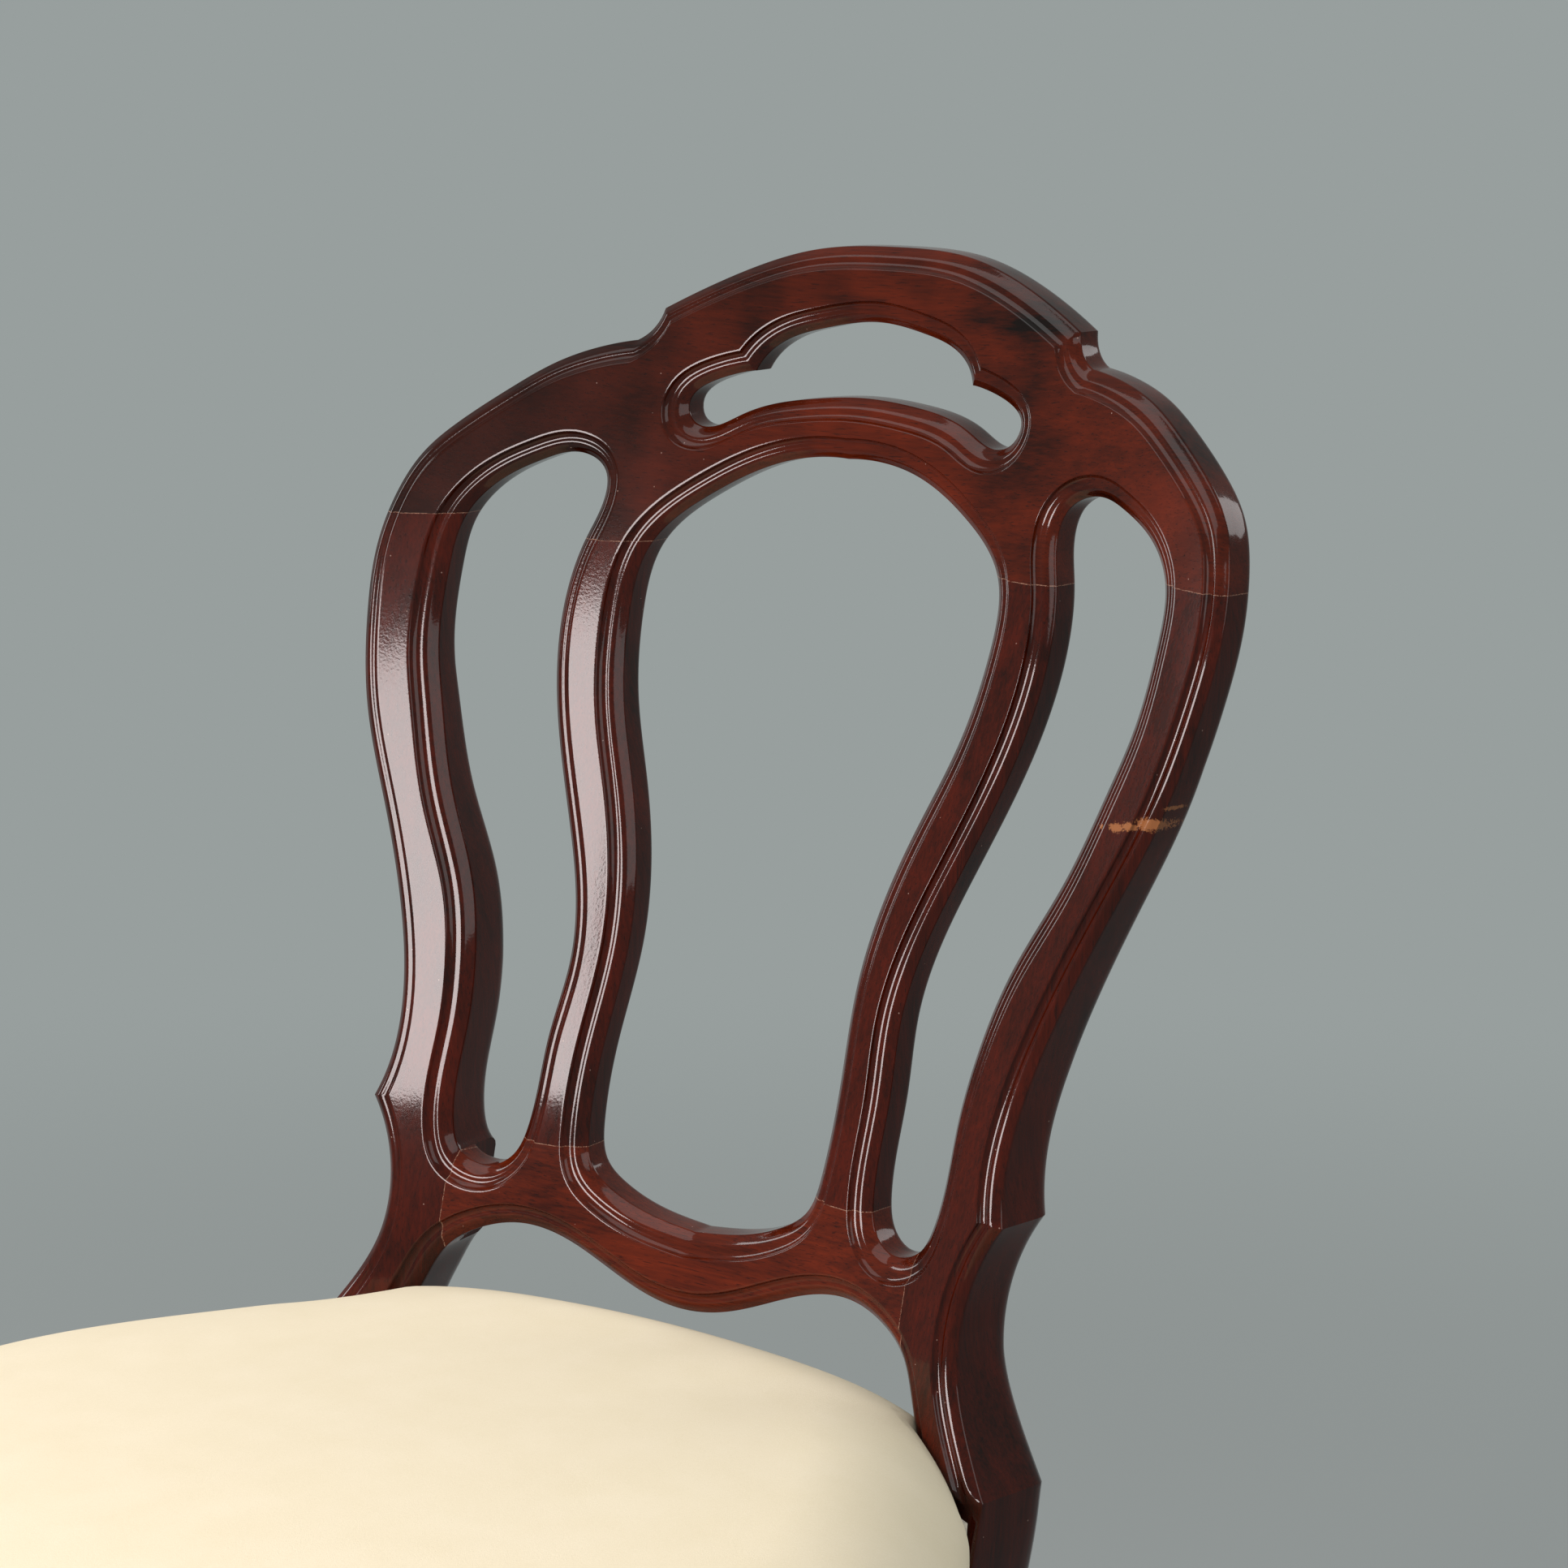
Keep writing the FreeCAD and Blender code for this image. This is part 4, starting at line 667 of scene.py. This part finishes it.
def scaled(material, place, scale):
    return addNode(material, "ShaderNodeMapping", Vector=place, Scale=scale).outputs[0]


def blankMaterial(name):
    material = bpy.data.materials.new(name)
    material.use_nodes = True
    nodes = material.node_tree.nodes
    for node in list(nodes):
        if node.type != "OUTPUT_MATERIAL":
            nodes.remove(node)
    return material


def finishMaterial(material, shader):
    out = material.node_tree.nodes["Material Output"]
    material.node_tree.links.new(shader.outputs[0], out.inputs["Surface"])
    return material


# Cuban mahogany, French polished: dark red-brown, close grain, fine dark pores, and a thin hard gloss
# that is not quite level, so that reflections break up into specks at their ends

mahogany = {
    "crest": {"dark": "#0c0301", "light": "#5e1c05", "stretch": (0.06, 1, 1), "mottle": 0.6,
              # painted shade on the crest: its colour darkens towards the end that the lamps leave dark
              "paintedShade": (-0.14, -0.01)},
    "stay": {"dark": "#240803", "light": "#642009", "stretch": (0.06, 1, 1), "mottle": 0.35},
    "stile": {"dark": "#190501", "light": "#4a1204", "stretch": (1, 1, 0.05), "mottle": 0.3},
    "grain": 800, "ribbon": 95, "cloud": 22, "pore": 2200, "polish": 900, "dust": 260,  # per metre
    "poreColour": "#120503", "dustColour": "#a88c80", "glueColour": "#8d6a58", "bareColour": "#96603a",
    "glueLine": 0.00016,  # half its width in metres
    "scar": [((0.1581, 0.1820, 0.6771), 0.0018), ((0.1665, 0.1800, 0.6785), 0.0036),
             ((0.1725, 0.1790, 0.6798), 0.0034), ((0.1800, 0.1775, 0.6812), 0.0052),
             ((0.1868, 0.1790, 0.6868), 0.0022), ((0.1910, 0.1810, 0.6900), 0.0018)],
    "scarSquash": (1, 0.2, 2.4),
}


def glueLines(m, place):
    # 1 along the saw cuts of the joints, and 0 elsewhere
    flat = scaled(m, place, (1, 0, 1))
    lines = None
    for joint in joints:
        (x, z), normal = joint["at"], joint["normal"]
        spot = measure(m, "DOT_PRODUCT", place, normal)
        line = reckon(m, "COMPARE", spot, (x * normal[0] + z * normal[2]) * mm, mahogany["glueLine"])
        near = reckon(m, "LESS_THAN", measure(m, "DISTANCE", flat, (x * mm, 0, z * mm)), joint["reach"] * mm)
        line = reckon(m, "MULTIPLY", line, near)
        lines = line if lines is None else reckon(m, "MAXIMUM", lines, line)
    return lines


def scarOn(m, place, wood):
    # an old knock through the polish on the outer edge of one stile
    torn = noise(m, place, 1100.0, 4.0, Roughness=0.7)
    squash = mahogany["scarSquash"]
    squashed = scaled(m, place, squash)
    for centre, reach in mahogany["scar"]:
        away = measure(m, "DISTANCE", squashed, tuple(c * part for c, part in zip(centre, squash)))
        frayed = reckon(m, "MULTIPLY_ADD", torn, reach * 2.4, away)
        bare = spread(m, frayed, reach * 2.3, reach * 2.0, 0.0, 0.85)
        wood = blend(m, bare, wood, tint(mahogany["bareColour"]))
    return wood


def mahoganyMaterial(part, scarred=False):
    look = mahogany[part]
    m = blankMaterial("mahogany, French polished, " + part)
    place = objectPlace(m)
    along = scaled(m, place, look["stretch"])
    grain = noise(m, along, mahogany["grain"], 4.0, Roughness=0.6)
    ribbon = noise(m, along, mahogany["ribbon"], 2.0, Distortion=0.6)
    cloud = noise(m, place, mahogany["cloud"], 3.0)
    figure = weigh(m, look["mottle"], weigh(m, 0.45, grain, ribbon), cloud)
    tone = spread(m, figure, 0.34, 0.66)
    if "paintedShade" in look:  # painted shade: the colour darkens towards one end of the crest, the end that the lamps leave dark
        across = addNode(m, "ShaderNodeSeparateXYZ", Vector=place).outputs[0]
        tone = reckon(m, "MULTIPLY", tone, spread(m, across, *look["paintedShade"], 0.3, 1.0))
    wood = blend(m, tone, tint(look["dark"]), tint(look["light"]))
    pore = noise(m, along, mahogany["pore"], 1.0)
    wood = blend(m, spread(m, pore, 0.62, 0.7, 0.0, 0.6), wood, tint(mahogany["poreColour"]))
    dust = addNode(m, "ShaderNodeTexVoronoi", Vector=place, Scale=mahogany["dust"])
    near = reckon(m, "LESS_THAN", dust.outputs["Distance"], 0.07)
    chance = addNode(m, "ShaderNodeSeparateColor", Color=dust.outputs["Color"]).outputs[0]
    speck = reckon(m, "MULTIPLY", near, reckon(m, "GREATER_THAN", chance, 0.93))
    wood = blend(m, reckon(m, "MULTIPLY", speck, 0.55), wood, tint(mahogany["dustColour"]))
    shrunk = reckon(m, "MULTIPLY", glueLines(m, place), spread(m, pore, 0.4, 0.6))
    wood = blend(m, shrunk, wood, tint(mahogany["glueColour"]))
    if scarred:
        wood = scarOn(m, place, wood)
    ripple = bumps(m, noise(m, place, mahogany["polish"], 2.0), 0.00002, 0.5)
    sheen = spread(m, cloud, 0.3, 0.7, 0.14, 0.22)
    shader = addNode(m, "ShaderNodeBsdfPrincipled", Base_Color=wood, Roughness=sheen, IOR=1.45,
                     Specular_IOR_Level=0.04, Coat_Weight=0.52, Coat_Roughness=0.06, Coat_IOR=1.5,
                     Normal=ripple, Coat_Normal=ripple)
    return finishMaterial(m, shader)


# Pressed wool felt, cream: dead matt, soft at the edges, with short fibres that give a faint cloudy nap

def feltMaterial():
    m = blankMaterial("wool felt, cream")
    place = objectPlace(m)
    nap = noise(m, place, 45.0, 3.0)
    fibre = noise(m, place, 1400.0, 3.0, Roughness=0.7, Distortion=1.2)
    tone = spread(m, weigh(m, 0.65, nap, fibre), 0.3, 0.7)
    wool = blend(m, tone, tint("#e4d9ba"), tint("#ece2c8"))
    shader = addNode(m, "ShaderNodeBsdfPrincipled", Base_Color=wool, Roughness=0.95, Specular_IOR_Level=0.1,
                     Sheen_Weight=0.25, Sheen_Roughness=0.5, Sheen_Tint=tint("#fff4d8"),
                     Normal=bumps(m, fibre, 0.0004, 0.35))
    return finishMaterial(m, shader)


# Beech rails and blocks, planed and left bare: pale, with short brown flecks along the grain

def beechMaterial(name, stretch):
    m = blankMaterial(name)
    along = scaled(m, objectPlace(m), stretch)
    grain = noise(m, along, 260.0, 4.0, Distortion=0.4)
    fleck = noise(m, along, 1500.0, 1.0)
    wood = blend(m, spread(m, grain, 0.3, 0.7), tint("#9c7650"), tint("#c6a277"))
    wood = blend(m, spread(m, fleck, 0.6, 0.68, 0.0, 0.5), wood, tint("#7a5636"))
    shader = addNode(m, "ShaderNodeBsdfPrincipled", Base_Color=wood, Roughness=0.62, Specular_IOR_Level=0.35)
    return finishMaterial(m, shader)


# Plain woven cloths: two crossed sets of bands, finer for a smaller spacing

def wovenMaterial(name, dark, light, spacing, rise):
    m = blankMaterial(name)
    place = objectPlace(m)
    scale = 1000 / spacing / 6.2832 * 0.5
    threads = []
    for way in ("X", "Y"):
        wave = addNode(m, "ShaderNodeTexWave", {"bands_direction": way}, Vector=place, Scale=scale,
                       Distortion=0.6, Detail=2.0, i4=2.0)
        threads.append(wave.outputs["Fac"])
    woven = reckon(m, "MULTIPLY", *threads)
    shader = addNode(m, "ShaderNodeBsdfPrincipled", Base_Color=blend(m, woven, tint(dark), tint(light)),
                     Roughness=0.9, Specular_IOR_Level=0.15, Normal=bumps(m, woven, rise * mm, 0.8))
    return finishMaterial(m, shader)


# Loose fillings: matted fibres with no direction

def fibreMaterial(name, dark, light, scale):
    m = blankMaterial(name)
    tuft = noise(m, objectPlace(m), scale, 4.0, Distortion=2.0)
    colour = blend(m, spread(m, tuft, 0.35, 0.65), tint(dark), tint(light))
    shader = addNode(m, "ShaderNodeBsdfPrincipled", Base_Color=colour, Roughness=0.95,
                     Specular_IOR_Level=0.1, Normal=bumps(m, tuft, 0.0012, 0.7))
    return finishMaterial(m, shader)


# Drawn and turned steel: faint scratches change its roughness

def steelMaterial(name, colour, rough):
    m = blankMaterial(name)
    scratch = noise(m, objectPlace(m), 700.0, 3.0)
    worn = spread(m, scratch, 0.3, 0.7, rough, rough + 0.2)
    shader = addNode(m, "ShaderNodeBsdfPrincipled", Base_Color=tint(colour), Roughness=worn, Metallic=1.0)
    return finishMaterial(m, shader)


crestWood = mahoganyMaterial("crest")
stayWood = mahoganyMaterial("stay")
stileWood = mahoganyMaterial("stile")
knockedWood = mahoganyMaterial("stile", scarred=True)
sideBeech = beechMaterial("beech, planed, lengthwise grain", (1, 0.08, 1))

slotMaterials = {
    "mahogany": stileWood,
    "beech": beechMaterial("beech, planed, crosswise grain", (0.08, 1, 1)),
    "wool_felt": feltMaterial(),
    "cotton_wadding": fibreMaterial("cotton wadding, white", "#d8d2c2", "#f2eee2", 160.0),
    "curled_hair": fibreMaterial("curled hair, dark brown", "#1c1410", "#5a4534", 700.0),
    "hessian": wovenMaterial("hessian, natural jute", "#7d6238", "#b39763", 1.6, 0.4),
    "jute_webbing": wovenMaterial("jute webbing, close woven", "#8a7247", "#c2aa78", 2.4, 0.5),
    "black_cambric": wovenMaterial("black cambric", "#0b0b0d", "#1e1e22", 0.9, 0.12),
    "spring_steel": steelMaterial("spring steel, coppered", "#a9785a", 0.3),
    "screw_steel": steelMaterial("steel, bright turned", "#8d8d90", 0.28),
    "tack_steel": steelMaterial("steel, blued", "#23262e", 0.32),
}


def dress(piece, material):
    piece.data.materials.clear()
    piece.data.materials.append(material)


for part in frame["record"]["subparts"]:
    name = part["node"]
    lengthwise = name in ("seat_rail_left", "seat_rail_right")
    dress(frame["nodes"][name], sideBeech if lengthwise else slotMaterials[part["material_slot"]])
for name, piece in backPieces.items():
    ownWood = {"crest_rail": crestWood, "stay_rail": stayWood, "stile_leg_left": knockedWood}
    dress(piece, ownWood.get(name, stileWood))
dress(feltCover, slotMaterials["wool_felt"])
dress(waddingPad, slotMaterials["cotton_wadding"])
dress(hairPad, slotMaterials["curled_hair"])
print("materials set")


# Studio: pale floor, soft boxes and the camera

studio = {
    "floor": "#989f9e", "floorRadius": 60, "floorSides": 128,
    "fadeFrom": 0.8, "fadeTo": 2.6,  # metres from the chair
    "camera": (0.8961, -0.9943, 0.9631), "look": (-0.5865, 0.7869, -0.1921), "lens": 93.2, "sensor": 36,
    "world": 0.38, "aim": (0, 0.19, 0.65),
    "lamps": {  # azimuth, elevation, distance, width, height, watts, colour
        "keyBox": (-13, 20.2, 2.2, 1.05, 0.6, 42, "#fff4f3"),
        "topBox": (-50, 64, 2.4, 1.4, 1.4, 10, "#ffffff"),
        "leftBox": (-78, 22, 2.4, 0.35, 1.2, 10, "#ffffff"),
        "rightBox": (62, 42, 2.4, 1.2, 1.2, 9, "#ffffff"),
        "rearBox": (150, 40, 2.4, 0.8, 1.0, 10, "#ffffff"),
    },
}


def softBox(name, azimuth, elevation, distance, width, height, watts, colour):
    # azimuth 0 is straight in front of the chair, positive towards +X
    a, e = math.radians(azimuth), math.radians(elevation)
    away = Vector((math.sin(a) * math.cos(e), -math.cos(a) * math.cos(e), math.sin(e)))
    lamp = bpy.data.lights.new(name, "AREA")
    lamp.shape = "RECTANGLE"
    lamp.size = width
    lamp.size_y = height
    lamp.energy = watts
    lamp.color = tint(colour)[:3]
    box = bpy.data.objects.new(name, lamp)
    bpy.context.scene.collection.objects.link(box)
    box.location = Vector(studio["aim"]) + away * distance
    box.rotation_euler = (-away).to_track_quat("-Z", "Y").to_euler()


def seenDirectly(material):
    # 1 for what the camera, a reflection or a clear material sees, and 0 for light on the chair
    path = addNode(material, "ShaderNodeLightPath")
    seen = reckon(material, "MAXIMUM", path.outputs["Is Camera Ray"], path.outputs["Is Glossy Ray"])
    return reckon(material, "MAXIMUM", seen, path.outputs["Is Transmission Ray"])


def mixShader(material, share, first, second):
    mix = material.node_tree.nodes.new("ShaderNodeMixShader")
    for place, value in zip(mix.inputs, (share, first.outputs[0], second.outputs[0])):
        material.node_tree.links.new(value, place)
    return mix


def floorMaterial():
    # painted floor that runs into a plain backdrop of its own colour
    m = blankMaterial("painted floor")
    away = measure(m, "LENGTH", objectPlace(m))
    far = addNode(m, "ShaderNodeMapRange", {"interpolation_type": "SMOOTHSTEP"}, i0=away,
                  i1=studio["fadeFrom"], i2=studio["fadeTo"], i3=0.0, i4=1.0).outputs[0]
    share = reckon(m, "MULTIPLY", far, seenDirectly(m))
    paint = addNode(m, "ShaderNodeBsdfPrincipled", Base_Color=tint(studio["floor"]), Roughness=0.85)
    backdrop = addNode(m, "ShaderNodeEmission", Color=tint(studio["floor"]), Strength=1.0)
    return finishMaterial(m, mixShader(m, share, paint, backdrop))


def setFloor():
    bpy.ops.mesh.primitive_circle_add(vertices=studio["floorSides"], radius=studio["floorRadius"],
                                      fill_type="NGON", location=(0, 0, 0))
    floor = bpy.context.object
    floor.name = "floor"
    floor.data.materials.append(floorMaterial())


def setWorld():
    world = bpy.data.worlds.new("studio")
    bpy.context.scene.world = world
    world.use_nodes = True
    for node in list(world.node_tree.nodes):
        if node.type != "OUTPUT_WORLD":
            world.node_tree.nodes.remove(node)
    fill = addNode(world, "ShaderNodeBackground", Color=(1, 1, 1, 1), Strength=studio["world"])
    backdrop = addNode(world, "ShaderNodeBackground", Color=tint(studio["floor"]), Strength=1.0)
    mix = mixShader(world, seenDirectly(world), fill, backdrop)
    world.node_tree.links.new(mix.outputs[0], world.node_tree.nodes["World Output"].inputs["Surface"])


def setCamera():
    data = bpy.data.cameras.new("camera")
    data.lens = studio["lens"]
    data.sensor_width = data.sensor_height = studio["sensor"]
    camera = bpy.data.objects.new("camera", data)
    bpy.context.scene.collection.objects.link(camera)
    camera.location = studio["camera"]
    camera.rotation_euler = Vector(studio["look"]).to_track_quat("-Z", "Y").to_euler()
    bpy.context.scene.camera = camera
    bpy.context.scene.view_settings.view_transform = "Standard"


setFloor()
for name, settings in studio["lamps"].items():
    softBox(name, *settings)
setWorld()
setCamera()
print("studio set")
